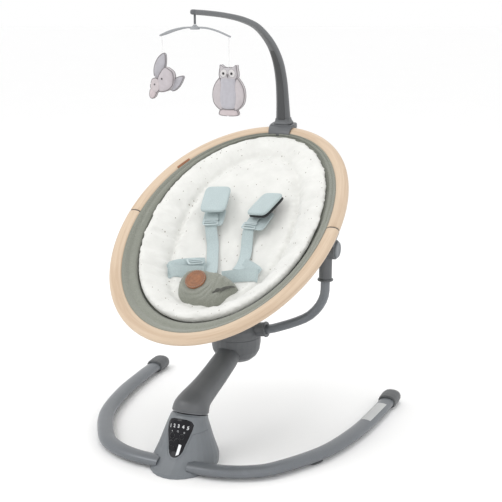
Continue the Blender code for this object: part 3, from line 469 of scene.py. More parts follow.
def mapSweep(piece, mapName, rowLengths, girth, columns, closedLength=None):
    # lays a flat map on a sweep: along it in U, round it in V, in metres
    mesh = piece.data
    column = [d.value for d in mesh.attributes["column"].data]
    row = [d.value for d in mesh.attributes["row"].data]
    layer = mesh.uv_layers.new(name=mapName)
    top = max(row)
    for face in mesh.polygons:
        cs = [column[v] for v in face.vertices]
        rs = [row[v] for v in face.vertices]
        wrapC = max(cs) - min(cs) > columns / 2
        wrapR = closedLength is not None and max(rs) == top and min(rs) == 0
        for loop, c, r in zip(face.loop_indices, cs, rs):
            along = closedLength if wrapR and r == 0 else rowLengths[r]
            around = (c + columns if wrapC and c < columns / 2 else c) / columns * girth
            layer.data[loop].uv = (along, around)
    dropAttributes(piece)
    return piece


def runLengths(points):
    lengths = [0.0]
    for first, second in zip(points, points[1:]):
        lengths.append(lengths[-1] + (second - first).length)
    return lengths


def ovalSection(centre, across, up, count, power=2.0):
    loop = []
    for i in range(count):
        t = 2 * math.pi * (i + 0.5) / count
        c, s = math.cos(t), math.sin(t)
        loop.append(centre + across * math.copysign(abs(c) ** (2 / power),
                                                    c) + up * math.copysign(abs(s) ** (2 / power), s))
    return loop


def curvePoint(a, b, c, d, t):
    square, cube = (2 * a - 5 * b + 4 * c - d) * t ** 2, (3 * b - a - 3 * c + d) * t ** 3
    return 0.5 * (2 * b + (c - a) * t + square + cube)


def softCurve(points, steps):
    pts = [Vector(p) for p in points]
    pts = [2 * pts[0] - pts[1]] + pts + [2 * pts[-1] - pts[-2]]
    spans = [pts[k - 1:k + 3] for k in range(1, len(pts) - 2)]
    return [curvePoint(*span, i / steps) for span in spans for i in range(steps)] + [pts[-2]]


def closedCurve(points, steps):
    pts = [Vector(p) for p in points]
    spans = [[pts[(k + j) % len(pts)] for j in (-1, 0, 1, 2)] for k in range(len(pts))]
    return [curvePoint(*span, i / steps) for span in spans for i in range(steps)]


def tubeAlong(name, path, radius, count=8, closed=False, side=Vector((0, 0, 1))):
    sections = []
    for i, p in enumerate(path):
        before = path[i - 1] if i or closed else path[0]
        after = path[(i + 1) % len(path)] if i + 1 < len(path) or closed else path[-1]
        tangent = (after - before).normalized()
        across = (side - tangent * side.dot(tangent)).normalized()
        sections.append(ovalSection(p, across * radius, tangent.cross(across) * radius, count))
    return extrudeSections(name, sections, closed)


def treeOf(piece):
    mesh = piece.data
    return BVHTree.FromPolygons([v.co.copy() for v in mesh.vertices], [tuple(f.vertices) for f in mesh.polygons])


# the seat's own directions: u runs to the head, n comes out of the seat

seat = {"centre": Vector((0, -0.0057, 0.4307)), "angle": math.radians(30.87), "ringHalfLength": 0.3177,
        "ringHalfWidth": 0.2175,
        "ringRadial": 0.0133, "ringNormal": 0.0091, "slingHalfLength": 0.3030, "slingHalfWidth": 0.2030,
        "padHalfLength": 0.280, "padHalfWidth": 0.182, "padShift": 0.018, "padRim": 0.008, "padSink": 0.012,
        "headDip": 0.01025, "footDip": 0.00775, "headDepth": 0.020, "hipDepth": 0.028, "hipStart": 0.02,
        "hipSpan": 0.09,
        "slingRim": 0.001, "slingSink": 0.024, "slingHead": 0.058, "ringPower": 2.3}
seatU = Vector((0, math.cos(seat["angle"]), math.sin(seat["angle"])))
seatN = Vector((0, -math.sin(seat["angle"]), math.cos(seat["angle"])))
seatX = Vector((1, 0, 0))


def seatPoint(x, u, n):
    return seat["centre"] + seatX * x + seatU * u + seatN * n


def ringDip(x, u):
    rho = math.hypot(x / seat["ringHalfWidth"], u / seat["ringHalfLength"]) + 1e-9
    end = (u / seat["ringHalfLength"]) / rho
    return -(seat["headDip"] + seat["footDip"] * end) * (end * rho) ** 2


def seatDepth(u):
    return seat["headDepth"] + seat["hipDepth"] * (1 - math.tanh((u - seat["hipStart"]) / seat["hipSpan"]))


def padTop(x, u):
    q = 1 - (x / seat["padHalfWidth"]) ** 2 - ((u - seat["padShift"]) / seat["padHalfLength"]) ** 2
    return ringDip(x, u) + seat["padRim"] - (seatDepth(u) + seat["padSink"]) * max(q, 0) ** 0.7


def slingTop(x, u):
    q = 1 - (x / seat["slingHalfWidth"]) ** 2 - (u / seat["slingHalfLength"]) ** 2
    headDrop = seat["slingHead"] * max(u / seat["ringHalfLength"], 0) ** 2
    return ringDip(x, u) + seat["slingRim"] - (seatDepth(u) + seat["slingSink"] + headDrop) * q


def ringPoint(phi):
    x, u = seat["ringHalfWidth"] * math.sin(phi), seat["ringHalfLength"] * math.cos(phi)
    return seatPoint(x, u, ringDip(x, u))


def ringSection(phi, grow=0.0, count=20):
    tangent = (ringPoint(phi + 0.002) - ringPoint(phi - 0.002)).normalized()
    outward = tangent.cross(seatN).normalized()
    if outward.dot(ringPoint(phi) - seat["centre"]) < 0:
        outward = -outward
    up = outward.cross(tangent).normalized()
    across, rise = outward * (seat["ringRadial"] + grow), up * (seat["ringNormal"] + grow)
    return ovalSection(ringPoint(phi), across, rise, count, seat["ringPower"])


# wooden ring

ringHalves = {"steps": 84, "columns": 20, "endGap": 0.0051, "endRound": 0.0007, "girth": 0.072, "lip": 0.004,
              "grainShift": 0.37}


def makeRingHalf(name, node, first, last):
    steps, columns = ringHalves["steps"], ringHalves["columns"]
    angles = [first + (last - first) * i / steps for i in range(steps + 1)]
    lip, shift = ringHalves["lip"], ringHalves["grainShift"] if name == "lowerRing" else 0.0
    angles = [first, first + lip] + angles[1:-1] + [last - lip, last]
    grows = [-ringHalves["endRound"]] + [0.0] * (len(angles) - 2) + [-ringHalves["endRound"]]
    piece = extrudeSections(name, [ringSection(a, g, columns) for a, g in zip(angles, grows)])
    lengths = runLengths([ringPoint(a) for a in angles])
    mapSweep(piece, "grainMap", [length + shift for length in lengths], ringHalves["girth"], columns)
    closePiece(piece, "seat", "pale_wood", smoothAngle=50)
    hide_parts(node)


for name, node, middle in (("upperRing", "upper_seat_ring", 0), ("lowerRing", "lower_seat_ring", math.pi)):
    reach = math.pi / 2 - ringHalves["endGap"]
    makeRingHalf(name, node, middle - reach, middle + reach)
print("wooden ring made")

# sling: one dished sheet of sage cloth held by the ring

slingCloth = {"levels": 44, "count": 144, "thick": 0.0028, "flat": (0.452, 0.660), "area": 0.2335,
              "slack": 0.0011, "ripples": 17, "slackStart": 0.45}


def dishedShell(name, halfWidth, halfLength, shift, top, bottom, levels, count):
    # two polar sheets joined at the rim, with the flat pattern kept as a map
    points, flats, faces = [], [], []
    for height in (top, bottom):
        points.append(seatPoint(0, shift, height(0, shift)))
        flats.append((0, shift))
        for level in levels:
            for i in range(count):
                t = 2 * math.pi * i / count
                x, u = halfWidth * level * math.sin(t), halfLength * level * math.cos(t) + shift
                points.append(seatPoint(x, u, height(x, u)))
                flats.append((x, u))
    sheet = 1 + len(levels) * count
    for side in (0, 1):
        start = side * sheet
        for i in range(count):
            j = (i + 1) % count
            fan = (start, start + 1 + i, start + 1 + j)
            faces.append(fan if side else fan[::-1])
            for k in range(len(levels) - 1):
                a, b = start + 1 + k * count, start + 1 + (k + 1) * count
                quad = (a + i, b + i, b + j, a + j)
                faces.append(quad if side else quad[::-1])
    rim = 1 + (len(levels) - 1) * count
    for i in range(count):
        j = (i + 1) % count
        faces.append((rim + i, rim + j, sheet + rim + j, sheet + rim + i))
    mesh = bpy.data.meshes.new(name)
    mesh.from_pydata(points, [], faces)
    piece = bpy.data.objects.new(name, mesh)
    bpy.context.scene.collection.objects.link(piece)
    layer = mesh.uv_layers.new(name="clothMap")
    for face in mesh.polygons:
        for loop, v in zip(face.loop_indices, face.vertices):
            layer.data[loop].uv = flats[v]
    return piece


def slingSurface(x, u):
    rho = math.hypot(x / seat["slingHalfWidth"], u / seat["slingHalfLength"])
    angle = math.atan2(x / seat["slingHalfWidth"], u / seat["slingHalfLength"])
    ripple = math.sin(angle * slingCloth["ripples"] + 2.0 * math.sin(angle * 3))
    share = min(max((rho - slingCloth["slackStart"]) / (1 - slingCloth["slackStart"]), 0), 1)
    return slingTop(x, u) + slingCloth["slack"] * ripple * max(0, math.sin(math.pi * share))


def makeSling():
    levels = [(k + 1) / slingCloth["levels"] for k in range(slingCloth["levels"])]
    piece = dishedShell("slingCloth", seat["slingHalfWidth"], seat["slingHalfLength"], 0, slingSurface,
                        lambda x, u: slingSurface(x, u) - slingCloth["thick"], levels, slingCloth["count"])
    closePiece(piece, "seat", "sage_fabric")
    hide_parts("seat_sling")
    return piece


sling = makeSling()

# padded sage roll between the inlay and the ring, folded along its middle

rollSettings = {"steps": 176, "columns": 22, "inner": 0.0022, "outer": -0.0012, "lift": 0.0010,
                "puckers": 61, "puckerDepth": 0.0007, "deepest": 0.024, "topDrop": 0.0050, "innerDrop": 0.0030,
                "fold": 0.0042, "foldPlace": 0.56, "foldWidth": 0.07, "leastHeight": 0.003, "girth": 0.09}


def makeRoll():
    steps, columns, half = rollSettings["steps"], rollSettings["columns"], seat["ringRadial"] + rollSettings["outer"]
    inWidth, inLength = seat["padHalfWidth"] + rollSettings["inner"], seat["padHalfLength"] + rollSettings["inner"]
    outWidth, outLength = seat["ringHalfWidth"] - half, seat["ringHalfLength"] - half
    sections = []
    for i in range(steps):
        t = 2 * math.pi * i / steps
        ix, iu = inWidth * math.sin(t), inLength * math.cos(t) + seat["padShift"]
        ox, ou = outWidth * math.sin(t), outLength * math.cos(t)
        puckers = rollSettings["puckerDepth"] * math.sin(rollSettings["puckers"] * t + 1.7 * math.sin(5 * t))
        loop = []
        for k in range(columns):
            a = 2 * math.pi * k / columns
            w = 0.5 - 0.5 * math.cos(a)
            x, u = ix + (ox - ix) * w, iu + (ou - iu) * w
            base = max(slingTop(x, u), ringDip(x, u) - rollSettings["deepest"]) + rollSettings["lift"]
            top = ringDip(x, u) - rollSettings["topDrop"] - rollSettings["innerDrop"] * (1 - w)
            fold = rollSettings["fold"] * math.exp(-((w - rollSettings["foldPlace"]) / rollSettings["foldWidth"]) ** 2)
            bulge = max(math.sin(a), 0) ** 0.55
            rise = max(top - base, rollSettings["leastHeight"]) - fold + puckers * math.sin(math.pi * w)
            loop.append(seatPoint(x, u, base + rise * bulge if a <= math.pi else base - 0.0002))
        sections.append(loop)
    piece = extrudeSections("sageRoll", sections, closed=True)
    middle = [sum(loop, Vector()) / columns for loop in sections]
    lengths = runLengths(middle)
    mapSweep(piece, "clothMap", lengths, rollSettings["girth"], columns,
             lengths[-1] + (middle[0] - middle[-1]).length)
    smoothOut(piece)
    closePiece(piece, "seat", "sage_fabric", smoothAngle=70)
    return piece


roll = makeRoll()
print("sling and roll made")

# fleecy inlay: a padded border round an inner panel, puffed by a cloth run

inlay = {"levels": 36, "count": 120, "seamHalfWidth": 0.122, "seamHalfLength": 0.222, "seamShift": 0.012,
         "borderCrown": 0.0085,
         "panelCrown": 0.0030, "rimRound": 0.0080, "voxel": 0.0055, "pressure": 4.0, "frames": 20, "cap": 0.0075,
         "grow": -0.02,
         "seamDepth": 0.0036, "seamWidth": 0.0042, "under": 0.0014, "leastThick": 0.006, "rimStart": 0.93,
         "heldSeam": 0.022, "heldRim": 0.030, "gather": 0.0009, "gathers": 53, "gatherWidth": 0.10}


def seamRho(x, u):
    return math.hypot(x / inlay["seamHalfWidth"], (u - inlay["seamShift"]) / inlay["seamHalfLength"])


def padRho(x, u):
    return math.hypot(x / seat["padHalfWidth"], (u - seat["padShift"]) / seat["padHalfLength"])


def rimTurn(rho):
    return inlay["rimRound"] * (max(rho - inlay["rimStart"], 0) / (1 - inlay["rimStart"])) ** 2


def inlayTop(x, u):
    inner, outer = seamRho(x, u), padRho(x, u)
    height = padTop(x, u)
    if inner < 1:
        return height + inlay["panelCrown"] * (1 - inner ** 6) - 0.001
    share = (inner - 1) / max(inner / max(outer, 1e-6) - 1, 1e-6)
    share = min(max(share, 0), 1)
    height += inlay["borderCrown"] * math.sin(math.pi * min(share * 1.02, 1)) ** 0.7 - 0.001
    return height - rimTurn(outer)


def inlayBottom(x, u):
    low = min(slingTop(x, u) + inlay["under"], padTop(x, u) - inlay["leastThick"])
    return low + 0.6 * rimTurn(padRho(x, u))


def seatCoordinates(point):
    offset = point - seat["centre"]
    return offset.x, offset.dot(seatU), offset.dot(seatN)


def puff(piece, pins, settings):
    # pressure and a little slack in the cloth; the pinned seams and underside hold their place
    applyModifier(piece, "REMESH", mode="VOXEL", voxel_size=settings["voxel"])
    applyModifier(piece, "SMOOTH", factor=0.5, iterations=6)
    before = [v.co.copy() for v in piece.data.vertices]
    caps = [settings["cap"] * (1 - pins(v.co)) for v in piece.data.vertices]
    group = piece.vertex_groups.new(name="held")
    for v in piece.data.vertices:
        group.add([v.index], min(1.0, max(0.0, pins(v.co))), "REPLACE")
    takeUp(piece)
    cloth = piece.modifiers.new("cloth", "CLOTH")
    cloth.settings.use_pressure = True
    cloth.settings.uniform_pressure_force = settings["pressure"]
    cloth.settings.shrink_min = settings["grow"]
    cloth.settings.vertex_group_mass = "held"
    cloth.settings.effector_weights.gravity = 0
    cloth.settings.quality = 6
    cloth.point_cache.frame_start = 1
    cloth.point_cache.frame_end = settings["frames"]
    for number in range(1, settings["frames"] + 1):
        bpy.context.scene.frame_set(number)
    bpy.ops.object.modifier_apply(modifier=cloth.name)
    bpy.context.scene.frame_set(1)
    for v, start, cap in zip(piece.data.vertices, before, caps):
        move = v.co - start
        if move.length > cap:
            v.co = start + move * (cap / move.length)
    piece.vertex_groups.clear()
    return piece


def layFlatMap(piece):
    layers = piece.data.uv_layers
    layer = layers["clothMap"] if "clothMap" in layers else layers.new(name="clothMap")
    for face in piece.data.polygons:
        for loop, v in zip(face.loop_indices, face.vertices):
            x, u, n = seatCoordinates(piece.data.vertices[v].co)
            layer.data[loop].uv = (x, u)


def nearness(rho, width):
    return math.exp(-((rho - 1) / width) ** 2)


def heldShare(point):
    x, u, n = seatCoordinates(point)
    if n < (inlayTop(x, u) + inlayBottom(x, u)) / 2:
        return 1.0
    return max(nearness(seamRho(x, u), inlay["heldSeam"]), nearness(padRho(x, u), inlay["heldRim"]) * 0.75)


def makeInlay():
    levels = [((k + 1) / inlay["levels"]) ** 0.85 for k in range(inlay["levels"])]
    piece = dishedShell("inlayPad", seat["padHalfWidth"], seat["padHalfLength"], seat["padShift"], inlayTop,
                        inlayBottom, levels,
                        inlay["count"])
    puff(piece, heldShare, inlay)
    smoothOut(piece)
    width = inlay["seamWidth"] / inlay["seamHalfWidth"]
    for v in piece.data.vertices:
        x, u, n = seatCoordinates(v.co)
        if n > (inlayTop(x, u) + inlayBottom(x, u)) / 2:
            angle = math.atan2(x, u - inlay["seamShift"])
            drop = inlay["seamDepth"] * nearness(seamRho(x, u), width)
            gather = inlay["gather"] * math.sin(angle * inlay["gathers"] + 2 * math.sin(angle * 7))
            v.co += seatN * (gather * nearness(seamRho(x, u), inlay["gatherWidth"]) - drop)
    layFlatMap(piece)
    closePiece(piece, "seat", "cream_fabric", smoothAngle=80)
    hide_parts("seat_inlay_pad")
    return piece


inlayPad = makeInlay()
inlayTree = treeOf(inlayPad)
print("inlay pad made, cloth run", "done")


def inlayHeight(x, u):
    hit = inlayTree.ray_cast(seatPoint(x, u, 0.15), -seatN, 0.4)[0]
    return seatCoordinates(hit)[2] if hit else padTop(x, u)


# harness webbing

webbing = {"halfWidth": 0.0125, "thick": 0.0016, "lift": 0.0022, "columns": 12, "samples": 9, "leaning": 20}
straps = {
    "leftShoulderStrap": {"replaces": "left_shoulder_strap", "tilt": 0, "points": [
        (-0.0620, 0.0560, 0.010), (-0.0580, 0.0400, 0.0125), (-0.0545, 0.0220, 0.0150), (-0.0520, 0.0060, 0.0140),
                                                                                   (-0.0475, -0.0080, 0.0075),
        (-0.0410, -0.0250, 0.0005), (-0.0300, -0.0575, 0.001), (-0.0185, -0.0885, 0.004), (-0.0120, -0.1080, 0.007)]},
    "rightShoulderStrap": {"replaces": "right_shoulder_strap", "tilt": 6, "points": [
        (0.0430, 0.0560, 0.011), (0.0370, 0.0400, 0.0125), (0.0330, 0.0230, 0.0150), (0.0310, 0.0067, 0.0135),
                                                                                     (0.0315, -0.0080, 0.0070),
        (0.0340, -0.0240, 0.001), (0.0395, -0.0495, 0.002), (0.0420, -0.0760, 0.005), (0.0410, -0.0930, 0.008)]},
    "leftWaistStrap": {"replaces": "left_waist_strap", "tilt": 44, "points": [
        (-0.0240, -0.1090, 0.010), (-0.0400, -0.1130, 0.009), (-0.0600, -0.1180, 0.008), (-0.0820, -0.1230, 0.007),
                                                                              (-0.0970, -0.1260, 0.006)]},
    "leftWaistReturn": {"replaces": "", "tilt": 32, "points": [
        (-0.0970, -0.1230, 0.0085), (-0.0880, -0.1165, 0.0105), (-0.0710, -0.1045, 0.0130),
                                                               (-0.0500, -0.0920, 0.0125),
                                                               (-0.0320, -0.0840, 0.0105)]},
    "rightWaistStrap": {"replaces": "right_waist_strap", "tilt": 44, "points": [
        (0.0180, -0.1200, 0.009), (0.0380, -0.1150, 0.009), (0.0580, -0.1125, 0.009), (0.0780, -0.1120, 0.008),
                                                                                (0.0935, -0.1125, 0.007)]},
    "rightWaistReturn": {"replaces": "", "tilt": 32, "points": [
        (0.0935, -0.1095, 0.0085), (0.0850, -0.1020, 0.0100), (0.0710, -0.0910, 0.0105), (0.0570, -0.0810, 0.0095),
                                                                (0.0450, -0.0750, 0.0080)]},
}


def makeStrap(name, plan):
    # a flat band that lies on the inlay; a waist band also leans towards the head
    flat = softCurve([(x, u, lift) for x, u, lift in plan["points"]], webbing["samples"])
    tilt = math.radians(plan["tilt"])
    sections, middle = [], []
    for i, p in enumerate(flat):
        run = flat[min(i + 1, len(flat) - 1)] - flat[max(i - 1, 0)]
        run.z = 0
        run.normalize()
        cross = Vector((run.y, -run.x, 0))
        reach = webbing["halfWidth"] * math.cos(tilt)
        ground = max(inlayHeight(p.x + k * cross.x * reach, p.y + k * cross.y * reach) for k in (-1, -0.5, 0, 0.5, 1))
        centre = seatPoint(p.x, p.y, ground + webbing["lift"] + p.z)
        along = (seatX * run.x + seatU * run.y).normalized()
        flatAcross = seatX * cross.x + seatU * cross.y
        leaning = plan["tilt"] > webbing["leaning"]
        if leaning and flatAcross.dot(seatU) < 0:
            flatAcross = -flatAcross
        lean = tilt if leaning or flatAcross.x > 0 else -tilt
        across = (flatAcross * math.cos(lean) + seatN * math.sin(lean)).normalized()
        up = across.cross(along).normalized()
        if up.dot(seatN) < 0:
            up = -up
        sections.append(ovalSection(centre, across * webbing["halfWidth"], up * webbing["thick"] / 2,
                                    webbing["columns"], 6))
        middle.append(centre)
    piece = extrudeSections(name, sections)
    mapSweep(piece, "clothMap", runLengths(middle), webbing["halfWidth"] * 4, webbing["columns"])
    closePiece(piece, "seat", "webbing", smoothAngle=50)
    if plan["replaces"]:
        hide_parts(plan["replaces"])


for name, plan in straps.items():
    makeStrap(name, plan)

# shoulder pads, each a crowned cushion over a thinner tab

shoulderPads = {
    "leftShoulderPad": {"replaces": "left_shoulder_pad", "at": (-0.0575, 0.0620), "turn": 0.18,
                        "half": (0.0278, 0.0390),
                        "roll": 3, "lift": 0.0120, "thick": 0.0085, "fill": 0.7},
    "rightShoulderPad": {"replaces": "right_shoulder_pad", "at": (0.0550, 0.0590), "turn": -0.29,
                         "half": (0.0275, 0.0350),
                         "roll": -17, "lift": 0.0135, "thick": 0.0085, "fill": 0.7},
    "leftPadTab": {"at": (-0.0545, 0.0320), "turn": 0.18, "half": (0.0225, 0.0270), "roll": 4, "lift": 0.0006,
                   "thick": 0.0036, "fill": 0.4},
    "rightPadTab": {"at": (0.0480, 0.0330), "turn": -0.16, "half": (0.0215, 0.0280), "roll": -6, "lift": 0.0006,
                    "thick": 0.0036, "fill": 0.4},
}
cushion = {"profile": [(0.0, 0.80), (0.02, 0.92), (0.12, 0.985), (0.34, 1.0), (0.40, 0.982), (0.46, 1.0),
                       (0.66, 0.985),
                       (0.82, 0.945), (0.88, 0.895), (0.865, 0.872), (0.93, 0.84), (1.0, 0.66), (1.03, 0.42),
                       (1.05, 0.18)],
           "columns": 32, "corner": 6, "girth": 0.22}


def seatPlace(turn, roll):
    seatTurn = Matrix(((1, 0, 0), (0, seatU.y, seatN.y), (0, seatU.z, seatN.z)))
    return seatTurn @ Matrix.Rotation(turn, 3, "Z") @ Matrix.Rotation(math.radians(roll), 3, "Y")


def makeCushion(name, plan):
    (x, u), half, thick = plan["at"], plan["half"], plan["thick"]
    edges = [(x + a * half[0] * 0.9, u + b * half[1] * 0.9) for a in (-1, 0, 1) for b in (-1, 0, 1)]
    place = seatPlace(plan["turn"], plan["roll"])
    centre = seatPoint(x, u, max(inlayHeight(*edge) for edge in edges) + plan["lift"])
    sections = []
    for h, k in cushion["profile"]:
        across, along = Vector((half[0] * k, 0, 0)), Vector((0, half[1] * k, 0))
        loop = ovalSection(Vector((0, 0, h * thick)), across, along, cushion["columns"], cushion["corner"])
        sections.append([centre + place @ p for p in loop])
    piece = extrudeSections(name, sections)
    rows = [h * thick + (1 - k) * half[0] for h, k in cushion["profile"]]
    mapSweep(piece, "clothMap", rows, cushion["girth"], cushion["columns"])
    smoothOut(piece)
    return closePiece(piece, "seat", "webbing", smoothAngle=75)


for name, plan in shoulderPads.items():
    pad = makeCushion(name, plan)
    if "replaces" in plan:
        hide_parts(plan["replaces"])

# webbing sliders

sliders = {"leftSlider": ((-0.0535, 0.0130), 0.20, 0.0205, 0), "rightSlider": ((0.0318, 0.0145), -0.10, 0.0205, -6),
           "waistSlider": ((-0.0500, -0.0920), 0.75, 0.0210, 24)}
sliderShape = {"half": (0.0152, 0.0082), "wire": 0.0017, "bar": 0.0014, "bars": (-0.0022, 0.0034)}


def makeSlider(name, at, turn, lift, roll):
    place = seatPlace(turn, roll)
    centre = seatPoint(*at, inlayHeight(*at) + lift)
    width, length = sliderShape["half"]
    loop = ovalSection(Vector(), Vector((width, 0, 0)), Vector((0, length, 0)), 28, 7)
    frameTube = tubeAlong(name, [centre + place @ p for p in loop], sliderShape["wire"], 8, True, seatN)
    bars = []
    for shift in sliderShape["bars"]:
        ends = [Vector((-width, shift, 0.0004)), Vector((0, shift, 0.0012)), Vector((width, shift, 0.0004))]
        bars.append(tubeAlong(name + "Bar", [centre + place @ p for p in ends], sliderShape["bar"], 8, False, seatN))
    piece = joinPieces(name, [frameTube] + bars)
    closePiece(piece, "seat", "webbing", sliderPlastic, 60)


sliderPlastic = mouldedPlastic("sliderPlastic", (0.500, 0.580, 0.590), 0.35, 1200, 0.06, 0.05, 0.1)
for name, plan in sliders.items():
    makeSlider(name, *plan)

# a near-black sheet under the right pad's turned edge: painted shade where the pad's shadow falls

padShadeSheet = {"at": (0.0580, 0.0560), "turn": -0.29, "half": (0.0275, 0.0345), "roll": -17, "lift": 0.0115,
             "thick": 0.0022}
padShade = makeCushion("rightPadShadeSheet", padShadeSheet)
# near-black colour: painted shade under the pad's raised edge
padShade.material_slots[0].material = mouldedPlastic("padShadeDark", (0.030, 0.032, 0.034), 0.8, 900, 0.10, 0.05)
print("harness made")

# crotch cover: a sewn dome with pleats round its badge

cover = {"outline": [(-0.0600, -0.1500), (-0.0530, -0.1790), (-0.0360, -0.1960), (-0.0100, -0.2020),
                     (0.0200, -0.2015), (0.0380, -0.1975),
                     (0.0500, -0.1760), (0.0640, -0.1500), (0.0470, -0.1330), (0.0200, -0.1230), (-0.0130, -0.1210),
                     (-0.0380, -0.1230),
                     (-0.0540, -0.1330)],
         "centre": (-0.0020, -0.1500), "height": 0.0360, "rings": 40, "front": -0.202, "back": -0.121,
         "frontHeight": 0.42, "backGain": 0.72, "pleatStart": 0.0250, "pleatPitch": 0.0086, "pleatDepth": 0.0040,
         "pleatBack": 0.14, "foldStart": 0.014, "foldPitch": 0.0125, "foldDepth": 0.0030, "wrinkle": 0.0009,
         "mouth": [(0.0260, -0.1800), (0.0330, -0.1730), (0.0420, -0.1650), (0.0520, -0.1570), (0.0600, -0.1510)],
         "mouthHalf": 0.0064}


badge = {"at": (-0.0180, -0.1560), "radius": 0.0215, "lift": 0.0012, "columns": 48, "stitches": 30, "stitchAt": 0.91,
         "stitchHalf": 0.07, "thread": 0.00035, "probe": 0.012,
         "profile": [(0.98, -0.0040), (1, 0.0004), (0.985, 0.0011), (0.95, 0.0014), (0.88, 0.0014), (0.865, 0.0010),
                     (0.85, 0.0014), (0.62, 0.0016), (0.60, 0.0012), (0.56, 0.0012), (0.54, 0.0016), (0.30, 0.0017),
                     (0.28, 0.0013), (0.22, 0.0013), (0.20, 0.0017), (0.04, 0.0018)]}


def coverHeight(x, u, share):
    slope = (u - cover["front"]) / (cover["back"] - cover["front"])
    lean = cover["frontHeight"] + cover["backGain"] * min(max(slope, 0), 1.1)
    dome = cover["height"] * max(1 - share ** 3.4, 0) ** 0.6 * lean
    bx, bu = x - badge["at"][0], u - badge["at"][1]
    far = math.hypot(bx, bu)
    side = math.atan2(bu, bx)
    mask = 0.5 + 0.5 * math.tanh((-math.sin(side + 0.25) - 0.05) * 5) if bx > 0 else 1.0
    steps = (far - cover["pleatStart"]) / cover["pleatPitch"]
    pleat = 0.0
    if steps > 0:
        part, back = steps - math.floor(steps), cover["pleatBack"]
        rise = part ** 0.5 if part < 1 - back else (1 - (part - 1 + back) / back) * 0.93
        pleat = cover["pleatDepth"] * rise * mask
    if x > cover["foldStart"]:
        part = (x - cover["foldStart"]) / cover["foldPitch"] % 1
        pleat += cover["foldDepth"] * part ** 0.6 * min(1, (1 - part) * 6)
    wrinkle = cover["wrinkle"] * math.sin(180 * x + 95 * u) * math.sin(210 * u - 60 * x)
    return dome + (pleat + wrinkle) * min(1.0, (1 - share) * 8) * min(1, share * 3)


def makeCover():
    rim = closedCurve([(x, u, 0) for x, u in cover["outline"]], 8)
    cx, cu = cover["centre"]
    middle = inlayHeight(cx, cu)
    sections = []
    for k in range(cover["rings"]):
        share = 1 - k / cover["rings"]
        loop = []
        for p in rim:
            x, u = cx + (p.x - cx) * share, cu + (p.y - cu) * share
            ground = inlayHeight(x, u) * 0.55 + middle * 0.45 + 0.002
            loop.append(seatPoint(x, u, ground + coverHeight(x, u, share)))
        sections.append(loop)
    skirt = []
    for p in rim:
        x, u = cx + (p.x - cx) * 0.97, cu + (p.y - cu) * 0.97
        skirt.append(seatPoint(x, u, inlayHeight(x, u) + 0.0012))
    piece = extrudeSections("crotchCover", [skirt] + sections)
    dropAttributes(piece)
    layFlatMap(piece)
    smoothOut(piece)
    closePiece(piece, "seat", "sage_fabric", smoothAngle=70)
    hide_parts("crotch_cover", "harness_buckle")
    return piece


coverPiece = makeCover()
coverTree = treeOf(coverPiece)


def makeBadge():
    # a leather disc square to the cover's mean slope, with pressed rings and stitches round its edge
    start, probe, r = seatPoint(*badge["at"], 0.1), badge["probe"], badge["radius"]
    hit = coverTree.ray_cast(start, -seatN, 0.4)[0]
    spots = [start + seatX * a + seatU * b for a in (-probe, 0, probe) for b in (-probe, 0, probe)]
    normal = sum([coverTree.ray_cast(spot, -seatN, 0.4)[1] for spot in spots], Vector()).normalized()
    across = seatX.cross(normal).cross(normal).normalized() * -1
    up = normal.cross(across)
    centre = hit + normal * badge["lift"]

    def rimPoint(t, share, h):
        return centre + (across * math.cos(t) + up * math.sin(t)) * (r * share) + normal * h

    turns = [2 * math.pi * i / badge["columns"] for i in range(badge["columns"])]
    piece = extrudeSections("coverBadge", [[rimPoint(t, share, h) for t in turns] for share, h in badge["profile"]])
    closePiece(piece, "seat", "sage_fabric", leather, 60)
    stitches = []
    for i in range(badge["stitches"]):
        t, half = 2 * math.pi * i / badge["stitches"], badge["stitchHalf"]
        ends = [rimPoint(t + d, badge["stitchAt"], h) for d, h in ((-half, 0.0010), (0, 0.0018), (half, 0.0010))]
        stitches.append(tubeAlong("badgeStitch", ends, badge["thread"], 6, False, normal))
    stitchRing = joinPieces("badgeStitches", stitches)
    closePiece(stitchRing, "seat", "sage_fabric", thread, 60)


def makeMouth():
    # a dark strip laid on the cover's surface: painted shade standing for the sleeve's open end
    run, sections = softCurve([(x, u, 0) for x, u in cover["mouth"]], 5), []
    for i, p in enumerate(run):
        hit, normal = coverTree.ray_cast(seatPoint(p.x, p.y, 0.1), -seatN, 0.4)[:2]
        if not hit:
            continue
        width = cover["mouthHalf"] * math.sin(math.pi * (0.06 + 0.88 * i / (len(run) - 1))) ** 0.8
        along = (run[min(i + 1, len(run) - 1)] - run[max(i - 1, 0)]).normalized()
        across = (seatX * along.y - seatU * along.x).normalized()
        sections.append(ovalSection(hit, across * width, normal * 0.0008, 12, 3))
    piece = extrudeSections("coverMouth", sections)
    dropAttributes(piece)
    closePiece(piece, "seat", "sage_fabric", softFelt("mouthShade", (0.055, 0.056, 0.046)), 60)


makeMouth()
makeBadge()
print("crotch cover and badge made")

# leather tag folded over the ring's inner edge

ringTag = {"angle": -1.010, "spread": 0.128, "steps": 10, "columns": 24, "covers": (4, 16), "lift": 0.0010,
           "sink": 0.0003}


def makeRingTag():
    sections = []
    for i in range(ringTag["steps"] + 1):
        phi = ringTag["angle"] + ringTag["spread"] * (i / ringTag["steps"] - 0.5)
        outer = ringSection(phi, ringTag["lift"], ringTag["columns"])
        inner = ringSection(phi, -ringTag["sink"], ringTag["columns"])
        covered = slice(*ringTag["covers"])
        sections.append(outer[covered] + inner[covered][::-1])
    piece = extrudeSections("ringTag", sections)
    applyModifier(piece, "BEVEL", width=0.0003, segments=2, limit_method="ANGLE", angle_limit=math.radians(50))
    closePiece(piece, "seat", "pale_wood", leather, 50)


makeRingTag()

# panel printing: numbers, marks and button rings, laid on the glossy face

